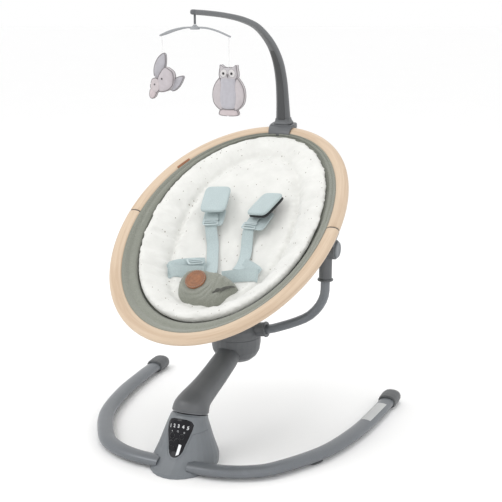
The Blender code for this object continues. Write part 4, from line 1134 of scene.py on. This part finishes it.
panelTree = treeOf(nodes["control_panel"])
panelMarks = {"digits": [("1", -0.0180, 0.0800), ("2", -0.0092, 0.0822), ("3", 0.0, 0.0828), ("4", 0.0092, 0.0822),
                         ("5", 0.0180, 0.0800)],
              "digitSize": 0.0082, "digitGrow": 0.0003, "lift": 0.00025, "solid": 0.00015, "lineWidth": 0.0004,
              "rings": ((-0.0125, 0.0722, 0.0020), (0.0, 0.0738, 0.0034), (0.0125, 0.0722, 0.0028)), "front": -0.4}
panelPlane = {"y": -0.2515, "z": 0.077, "slope": 0.34, "edge": -0.235}
buttonRing = {"radius": 0.0049, "slope": 0.33, "lean": 0.95, "out": 0.0002, "wire": 0.00032, "columns": 32}
buttonPlaces = {"power_button": (-0.0110, 0.0650), "timer_button": (0.0092, 0.0650),
                "volume_up_button": (0.0, 0.0560),
                "volume_down_button": (-0.0113, 0.0520), "melody_button": (-0.0042, 0.0425)}
printWhite = mouldedPlastic("printedWhite", (0.62, 0.63, 0.64), 0.5, 900, 0.02, 0.03)
ringGrey = mouldedPlastic("buttonGrey", (0.060, 0.062, 0.066), 0.35, 900, 0.05, 0.05, 0.2)


def onPanel(x, z, lift):
    hit = panelTree.ray_cast(Vector((x, panelMarks["front"], z)), Vector((0, 1, 0)), 0.3)[0]
    y = hit.y if hit and hit.y < panelPlane["edge"] else panelPlane["y"] - (panelPlane["z"] - z) * panelPlane["slope"]
    return Vector((x, y - lift, z))


def layOnPanel(piece, lift):
    for v in piece.data.vertices:
        v.co = onPanel(v.co.x, v.co.z, lift)
    applyModifier(piece, "SOLIDIFY", thickness=panelMarks["solid"], offset=1)


def makeDigits():
    pieces = []
    for body, x, z in panelMarks["digits"]:
        nothingSelected()
        bpy.ops.object.text_add(location=(x, panelMarks["front"], z), rotation=(math.pi / 2, 0, 0))
        text = bpy.context.object
        text.data.body = body
        text.data.size = panelMarks["digitSize"]
        text.data.align_x = text.data.align_y = "CENTER"
        text.data.offset = panelMarks["digitGrow"]
        bpy.ops.object.convert(target="MESH")
        bpy.ops.object.transform_apply(location=True, rotation=True, scale=True)
        pieces.append(bpy.context.object)
    for x, z, width in panelMarks["rings"]:
        nothingSelected()
        bpy.ops.mesh.primitive_circle_add(vertices=20, radius=width / 2, fill_type="NGON",
                                          location=(x, panelMarks["front"], z), rotation=(math.pi / 2, 0, 0))
        bpy.ops.object.mode_set(mode="EDIT")
        bpy.ops.mesh.inset(thickness=panelMarks["lineWidth"])
        bpy.ops.mesh.delete(type="FACE")
        bpy.ops.object.mode_set(mode="OBJECT")
        bpy.ops.object.transform_apply(location=True, rotation=True, scale=True)
        pieces.append(bpy.context.object)
    piece = joinPieces("panelNumbers", pieces)
    layOnPanel(piece, panelMarks["lift"])
    closePiece(piece, "base", "window_white", printWhite)


def makeButtonMarks():
    r, lean = buttonRing["radius"], buttonRing["slope"] * buttonRing["lean"]
    turns = [2 * math.pi * i / buttonRing["columns"] for i in range(buttonRing["columns"])]
    for body, (x, z) in buttonPlaces.items():
        face = onPanel(x, z, buttonRing["out"])
        rim = [face + Vector((r * math.cos(t), lean * r * math.sin(t), r * math.sin(t))) for t in turns]
        ring = tubeAlong(body.replace("_", "") + "Ring", rim, buttonRing["wire"], 6, True, Vector((0, 1, 0)))
        closePiece(ring, "base", "panel_gloss", ringGrey, 60)


makeDigits()
makeButtonMarks()
nodes["joint_trim_ring"].material_slots[0].material = brushedMetal("darkChrome", (0.22, 0.225, 0.235), (1, 1, 1))
print("panel printing made")

# smooth arm cover and legs in place of the plain ones

armCover = {"sections": [((-0.2317, 0.1048), (-0.1651, 0.0832), 0.0350),
                         ((-0.2305, 0.1105), (-0.1640, 0.0855), 0.0350),
                         ((-0.2200, 0.1235), (-0.1620, 0.0870), 0.0336),
                         ((-0.1950, 0.1325), (-0.1580, 0.0885), 0.0312),
                         ((-0.1650, 0.1375), (-0.1480, 0.0905), 0.0292),
                         ((-0.1300, 0.1430), (-0.1190, 0.0975), 0.0277),
                         ((-0.0830, 0.1530), (-0.0730, 0.1105), 0.0270),
                         ((-0.0400, 0.1640), (-0.0270, 0.1255), 0.0262),
                         ((-0.0220, 0.1680), (-0.0080, 0.1350), 0.0240)],
            "columns": 56, "samples": 6, "corner": 2.15}
legRun = {"path": [(0.030, -0.2687), (0.0902, -0.2630), (0.1430, -0.2434), (0.1856, -0.2058), (0.2431, -0.1059),
                   (0.2722, 0.0113),
                   (0.2832, 0.1289), (0.2858, 0.2030)], "z": 0.0140, "half": (0.0100, 0.0165), "columns": 28,
          "samples": 12, "corner": 2.2}
legLabel = {"from": 0.0480, "to": 0.1560, "lift": 0.0003, "sink": 0.0004, "wrap": 0.62, "columns": 9}


def makeArmCover():
    tops = softCurve([(0, *a) for a, b, c in armCover["sections"]], armCover["samples"])
    bottoms = softCurve([(0, *b) for a, b, c in armCover["sections"]], armCover["samples"])
    halves = softCurve([(c, 0, 0) for a, b, c in armCover["sections"]], armCover["samples"])
    columns, corner = armCover["columns"], armCover["corner"]
    sections = [ovalSection((t + b) / 2, Vector((h.x, 0, 0)), (b - t) / 2, columns, corner)
                for t, b, h in zip(tops, bottoms, halves)]
    piece = extrudeSections("armCover", sections)
    dropAttributes(piece)
    closePiece(piece, "swing_arm", "arm_plastic", smoothAngle=40)
    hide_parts("arm_cover")


def legPath(nearest=-math.inf, farthest=math.inf):
    # the right leg's middle line between two y, each point with the direction along it
    path = softCurve([(x, y, legRun["z"]) for x, y in legRun["path"]], legRun["samples"])
    path = [p for p in path if nearest < p.y < farthest]
    ahead = [(path[min(i + 1, len(path) - 1)] - path[max(i - 1, 0)]).normalized() for i in range(len(path))]
    return list(zip(path, ahead))


def makeLegs():
    rise, width = legRun["half"]
    for word, side in (("left", -1), ("right", 1)):
        sections = []
        for p, tangent in legPath():
            centre, along = Vector((side * p.x, p.y, p.z)), Vector((side * tangent.x, tangent.y, tangent.z))
            up = Vector((0, 0, 1))
            sections.append(ovalSection(centre, up * rise, along.cross(up) * width, legRun["columns"],
                                        legRun["corner"]))
        piece = extrudeSections(word + "Leg", sections)
        dropAttributes(piece)
        closePiece(piece, "base", "frame_paint", smoothAngle=50)
        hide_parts(word + "_leg_tube")


def makeLegLabel():
    # a blank label bent over the right leg's top
    rise, width = legRun["half"]
    power, middle = 2 / legRun["corner"], (legLabel["columns"] - 1) / 2
    turns = [math.pi / 2 + (k - middle) / middle * legLabel["wrap"] for k in range(legLabel["columns"])]
    sections = []
    for p, tangent in legPath(legLabel["from"], legLabel["to"]):
        up = Vector((0, 0, 1))
        across = tangent.cross(up)
        rows = []
        for lift in (legLabel["lift"], -legLabel["sink"]):
            rows.append([p + across * (width + lift) * math.copysign(abs(math.cos(a)) ** power, math.cos(a))
                         + up * (rise + lift) * abs(math.sin(a)) ** power for a in turns])
        sections.append(rows[0] + rows[1][::-1])
    piece = extrudeSections("legLabel", sections)
    dropAttributes(piece)
    labelPaper = mouldedPlastic("blankLabel", (0.52, 0.53, 0.53), 0.5, 500, 0.04, 0.04)
    closePiece(piece, "base", "window_white", labelPaper, 30)


makeArmCover()
makeLegs()
makeLegLabel()
print("arm cover, legs and label made")

# toy arm with its dark strip, and the collar at its foot

toyArm = {"path": [(0.2878, 0.5975, 0.0165, 0.0125), (0.2850, 0.6200, 0.0150, 0.0120),
                   (0.2810, 0.6520, 0.0135, 0.0115),
                   (0.2725, 0.6920, 0.0125, 0.0105), (0.2510, 0.7345, 0.0112, 0.0095),
                   (0.2075, 0.7745, 0.0088, 0.0080),
                   (0.1380, 0.8085, 0.0072, 0.0066), (0.0630, 0.8255, 0.0063, 0.0058),
                   (-0.0230, 0.8355, 0.0057, 0.0052),
                   (-0.1030, 0.8410, 0.0055, 0.0050), (-0.1650, 0.8440, 0.0052, 0.0047)],
          "nose": ((0.0016, 0.94), (0.0030, 0.76), (0.0038, 0.45)),
          "samples": 8, "columns": 24, "corner": 2.8}
toyPin = {"place": (0, -0.158, 0.8390), "length": 0.0165, "radius": 0.0021}
armStrip = {"end": 0.765, "share": 0.56, "rise": 0.0013, "sink": 0.0016, "finish": mouldedPlastic(
    "armDarkStrip", (0.046, 0.048, 0.051), 0.36, 1400, 0.12, 0.08, 0.15)}
armCollar = {"base": (0, 0.288, 0.596), "lean": (0, -0.124, 0.992), "columns": 28, "corner": 4,
             "loops": ((0.0002, 0.0200, 0.0152), (0.0010, 0.0206, 0.0158), (0.0032, 0.0204, 0.0156),
                       (0.0048, 0.0184, 0.0140),
                       (0.0085, 0.0172, 0.0132), (0.0120, 0.0166, 0.0128), (0.0125, 0.0150, 0.0115))}


def toyArmRun():
    # middle, half width, half depth and inward direction along the arm
    curve = softCurve([(a, b, c) for a, b, c, d in toyArm["path"]], toyArm["samples"])
    depths = softCurve([(d, 0, 0) for a, b, c, d in toyArm["path"]], toyArm["samples"])
    run = []
    for i, (p, d) in enumerate(zip(curve, depths)):
        before, after = curve[max(i - 1, 0)], curve[min(i + 1, len(curve) - 1)]
        tangent = Vector((0, after.x - before.x, after.y - before.y)).normalized()
        inward = seatX.cross(tangent)
        if inward.y > 0 and tangent.z > 0.3 or inward.z > 0 and tangent.z <= 0.3:
            inward = -inward
        run.append((Vector((0, p.x, p.y)), p.z, d.x, inward))
    return run


def makeToyArm():
    run = toyArmRun()
    last, ahead = run[-1], (run[-1][0] - run[-2][0]).normalized()
    run += [(last[0] + ahead * step, last[1] * share, last[2] * share, last[3]) for step, share in toyArm["nose"]]
    piece = extrudeSections("toyArm", [ovalSection(p, seatX * w, inward * d, toyArm["columns"], toyArm["corner"])
                                       for p, w, d, inward in run])
    top = Vector(toyPin["place"])
    pin = tubeAlong("toyArmPin", [top, top - Vector((0, 0, toyPin["length"]))], toyPin["radius"], 16, False,
                    Vector((0, 1, 0)))
    piece = joinPieces("toyArm", [piece, pin])
    dropAttributes(piece)
    closePiece(piece, "toy_arm", "arm_plastic", smoothAngle=50)
    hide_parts("toy_arm")


def makeArmStrip():
    run = [row for row in toyArmRun() if row[0].z < armStrip["end"]][2:]
    sections = []
    for i, (p, w, d, inward) in enumerate(run):
        ease = min(1, i / 2, (len(run) - 1 - i) / 2)
        width = w * armStrip["share"] * (0.85 + 0.15 * ease)
        rise = inward * (armStrip["sink"] + armStrip["rise"] * ease)
        sections.append(ovalSection(p + inward * (d - armStrip["sink"]), seatX * width, rise, 16, 6))
    piece = extrudeSections("armStrip", sections)
    dropAttributes(piece)
    closePiece(piece, "toy_arm", "arm_plastic", armStrip["finish"], smoothAngle=40)


def makeArmCollar():
    lift, base = Vector(armCollar["lean"]).normalized(), Vector(armCollar["base"])
    forward = lift.cross(seatX)
    sections = [ovalSection(base + lift * h, seatX * a, forward * b, armCollar["columns"], armCollar["corner"])
                for h, a, b in armCollar["loops"]]
    piece = extrudeSections("armCollar", sections)
    dropAttributes(piece)
    closePiece(piece, "toy_arm", "arm_plastic", smoothAngle=40)


makeToyArm()
makeArmStrip()
makeArmCollar()
print("toy arm made")

# felt toys, sewn from stuffed parts

toyDepth = toyPin["place"][1]
plush = {"profile": [(-1.0, 0.30), (-0.98, 0.62), (-0.88, 0.84), (-0.60, 0.94), (-0.25, 0.985), (0.0, 1.0),
                     (0.25, 0.985),
                     (0.60, 0.94), (0.88, 0.84), (0.98, 0.62), (1.0, 0.30)],
         "edgeShare": 0.955, "edgeDepth": 0.62, "edgeThread": 0.0008, "fineThread": 0.0002}
feltColours = {"owlPale": (0.64, 0.62, 0.62), "owlWing": (0.500, 0.462, 0.475), "owlBelly": (0.445, 0.435, 0.470),
               "owlFeet": (0.55, 0.480, 0.490),
               "birdBody": (0.50, 0.46, 0.48), "birdWing": (0.43, 0.42, 0.45), "birdPale": (0.54, 0.49, 0.50),
               "owlGrey": (0.50, 0.475, 0.495), "eye": (0.03, 0.03, 0.03),
               "edge": (0.20, 0.185, 0.19), "beak": (0.16, 0.15, 0.15)}
felts = {name: softFelt(name + "Felt", colour, 0.06) for name, colour in feltColours.items()}


def plushPart(name, body, outline, middle, half, felt, edge=plush["edgeThread"], steps=4):
    # a stuffed flat part with a stitched line round both edges; middle and half give its depth
    points = closedCurve([(x, 0, z) for x, z in outline], steps)
    centre = sum(points, Vector()) / len(points)
    y = Vector((0, toyDepth + middle, 0))
    sections = [[centre + (p - centre) * k + y + Vector((0, half * d, 0)) for p in points]
                for d, k in plush["profile"]]
    piece = extrudeSections(name, sections)
    dropAttributes(piece)
    closePiece(piece, body, "felt", felts[felt], 80)
    lines = []
    for face in (-1, 1):
        shift = centre + y + Vector((0, half * face * plush["edgeDepth"], 0))
        rim = [shift + (p - centre) * plush["edgeShare"] for p in points]
        lines.append(tubeAlong(name + "Edge", rim, edge, 6, True, Vector((0, 1, 0))))
    seamLine = joinPieces(name + "Edge", lines)
    dropAttributes(seamLine)
    closePiece(seamLine, body, "felt", felts["edge"], 80)


def ovalOutline(x, z, a, b, turn=0.0, count=10):
    c, s = math.cos(turn), math.sin(turn)
    return [(x + a * math.cos(t) * c - b * math.sin(t) * s, z + a * math.cos(t) * s + b * math.sin(t) * c)
            for t in [2 * math.pi * i / count for i in range(count)]]


owlX = 0.067
owlFace = {"eyeX": 0.0080, "beakOutline": [(-0.0014, 0.7350), (0, 0.7362), (0.0014, 0.7350), (0, 0.7295)],
           "disc": (-0.0062, 0.0016, "owlPale", plush["fineThread"]),
           "eye": (-0.0079, 0.0010, "eye", plush["fineThread"], 2),
           "beak": (-0.0076, 0.0012, "beak", plush["fineThread"], 3)}
owlParts = {
    "owlFeet": ([(0.0, 0.6612), (0.012, 0.6616), (0.0195, 0.6635), (0.0188, 0.6690), (0.0150, 0.6730), (0.0, 0.6740),
                 (-0.0150, 0.6730),
                 (-0.0188, 0.6690), (-0.0195, 0.6635), (-0.012, 0.6616)], 0.0, 0.0050, "owlFeet"),
    "owlLeftWing": ([(-0.014, 0.7290), (-0.022, 0.7250), (-0.0295, 0.7120), (-0.0315, 0.6960), (-0.0280, 0.6820),
                     (-0.0170, 0.6715),
                     (-0.010, 0.6735), (-0.008, 0.7000)], 0.0, 0.0062, "owlWing"),
    "owlRightWing": ([(0.014, 0.7290), (0.008, 0.7000), (0.010, 0.6735), (0.0170, 0.6715), (0.0280, 0.6820),
                      (0.0315, 0.6960), (0.0295, 0.7120),
                      (0.022, 0.7250)], 0.0, 0.0062, "owlWing"),
    "owlBelly": ([(0.0, 0.7320), (-0.0150, 0.7300), (-0.0150, 0.7160), (-0.0178, 0.6980), (-0.0155, 0.6780),
                  (-0.0090, 0.6722), (0.0090, 0.6722),
                  (0.0155, 0.6780), (0.0178, 0.6980), (0.0150, 0.7160), (0.0150, 0.7300)], 0.0, 0.0078, "owlBelly"),
    "owlHead": ([(0.0, 0.7480), (-0.0085, 0.7478), (-0.0160, 0.7525), (-0.0168, 0.7470), (-0.0182, 0.7400),
                 (-0.0185, 0.7325), (-0.0150, 0.7265),
                 (0.0, 0.7250), (0.0150, 0.7265), (0.0185, 0.7325), (0.0182, 0.7400), (0.0168, 0.7470),
                 (0.0160, 0.7525), (0.0085, 0.7478)],
                0.0, 0.0072, "owlGrey"),
}
for name, (outline, middle, half, felt) in owlParts.items():
    plushPart(name, "owl", [(x + owlX, z) for x, z in outline], middle, half, felt)
for word, sign in (("Left", -1), ("Right", 1)):
    x = owlX + sign * owlFace["eyeX"]
    plushPart("owl" + word + "Disc", "owl", ovalOutline(x, 0.7378, 0.0066, 0.0078, sign * 0.5), *owlFace["disc"])
    plushPart("owl" + word + "Eye", "owl", ovalOutline(x, 0.7372, 0.0022, 0.0024), *owlFace["eye"])
plushPart("owlBeak", "owl", [(x + owlX, z) for x, z in owlFace["beakOutline"]], *owlFace["beak"])

birdParts = {
    "birdWing": ([(-0.0850, 0.7270), (-0.0855, 0.7440), (-0.0770, 0.7620), (-0.0640, 0.7712), (-0.0605, 0.7620),
                  (-0.0625, 0.7440), (-0.0700, 0.7250),
                  (-0.0770, 0.7195)], 0.0030, 0.0040, "birdWing"),
    "birdSecondWing": ([(-0.0480, 0.7010), (-0.0350, 0.7090), (-0.0262, 0.7230), (-0.0252, 0.7300), (-0.0380, 0.7270),
                        (-0.0470, 0.7200), (-0.0560, 0.7100)],
                       0.0030, 0.0040, "birdWing"),
    "birdBody": ([(-0.0790, 0.7060), (-0.0760, 0.7240), (-0.0680, 0.7380), (-0.0600, 0.7455), (-0.0510, 0.7420),
                  (-0.0440, 0.7360), (-0.0420, 0.7250),
                  (-0.0450, 0.7110), (-0.0560, 0.7020), (-0.0700, 0.6990)], 0.0, 0.0080, "birdBody"),
    "birdHead": ([(-0.0890, 0.7160), (-0.0850, 0.7240), (-0.0760, 0.7250), (-0.0690, 0.7170), (-0.0700, 0.7060),
                  (-0.0770, 0.6980), (-0.0850, 0.7000),
                  (-0.0900, 0.7080)], -0.0030, 0.0055, "birdPale"),
    "birdBeak": ([(-0.0895, 0.7060), (-0.0820, 0.7080), (-0.0770, 0.7010), (-0.0800, 0.6920), (-0.0860, 0.6870),
                  (-0.0915, 0.6895), (-0.0925, 0.6970)],
                 -0.0030, 0.0045, "owlFeet"),
}
for name, (outline, middle, half, felt) in birdParts.items():
    plushPart(name, "bird", outline, middle, half, felt)
for name, x, z in (("birdLeftEye", -0.0800, 0.7135), ("birdRightEye", -0.0650, 0.7240)):
    plushPart(name, "bird", ovalOutline(x, z, 0.0014, 0.0016), -0.0082, 0.0009, "eye", plush["fineThread"], 2)
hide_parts("owl_toy")
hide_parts("bird_toy")

# hanger: a turned knob, a flat bar to the right and an open wire loop to the left

hanger = {"knob": [(0.0030, -0.0172), (0.0036, -0.0185), (0.0055, -0.0200), (0.0085, -0.0228), (0.0090, -0.0245),
                   (0.0080, -0.0258)],
          "bar": [(0.002, 0, -0.0222), (0.024, 0, -0.0232), (0.046, 0, -0.0285), (0.0700, 0, -0.0378)],
          "loop": [(-0.002, -0.0015, -0.0222), (-0.020, -0.0085, -0.0228), (-0.042, -0.0110, -0.0275),
                   (-0.062, -0.0075, -0.0345), (-0.0705, 0.0, -0.0372),
                   (-0.062, 0.0075, -0.0345), (-0.042, 0.0110, -0.0275), (-0.020, 0.0085, -0.0228),
                   (-0.002, 0.0015, -0.0222)],
          "barHalf": (0.0022, 0.0017), "wire": 0.0015}


def makeHanger():
    at = Vector(toyPin["place"])
    turns = [2 * math.pi * i / 28 for i in range(28)]
    knob = extrudeSections("toyHanger", [[at + Vector((r * math.cos(t), r * math.sin(t), h)) for t in turns]
                                         for r, h in hanger["knob"]])
    bar = softCurve(hanger["bar"], 8)
    sections = []
    for i, p in enumerate(bar):
        along = (bar[min(i + 1, len(bar) - 1)] - bar[max(i - 1, 0)]).normalized()
        across = Vector((0, 1, 0))
        sections.append(ovalSection(at + p, across * hanger["barHalf"][0], along.cross(across) * hanger["barHalf"][1],
                                    16, 3))
    barPiece = extrudeSections("hangerBar", sections)
    loop = tubeAlong("hangerLoop", [at + p for p in softCurve(hanger["loop"], 6)], hanger["wire"], 12, False,
                     Vector((0, 0, 1)))
    piece = joinPieces("toyHanger", [knob, barPiece, loop])
    dropAttributes(piece)
    hangerGrey = mouldedPlastic("hangerGrey", (0.300, 0.310, 0.325), 0.4, 1200, 0.08, 0.06)
    closePiece(piece, "hanger", "hub_plastic", hangerGrey, 50)
    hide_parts("toy_hanger")


makeHanger()
print("toys made")
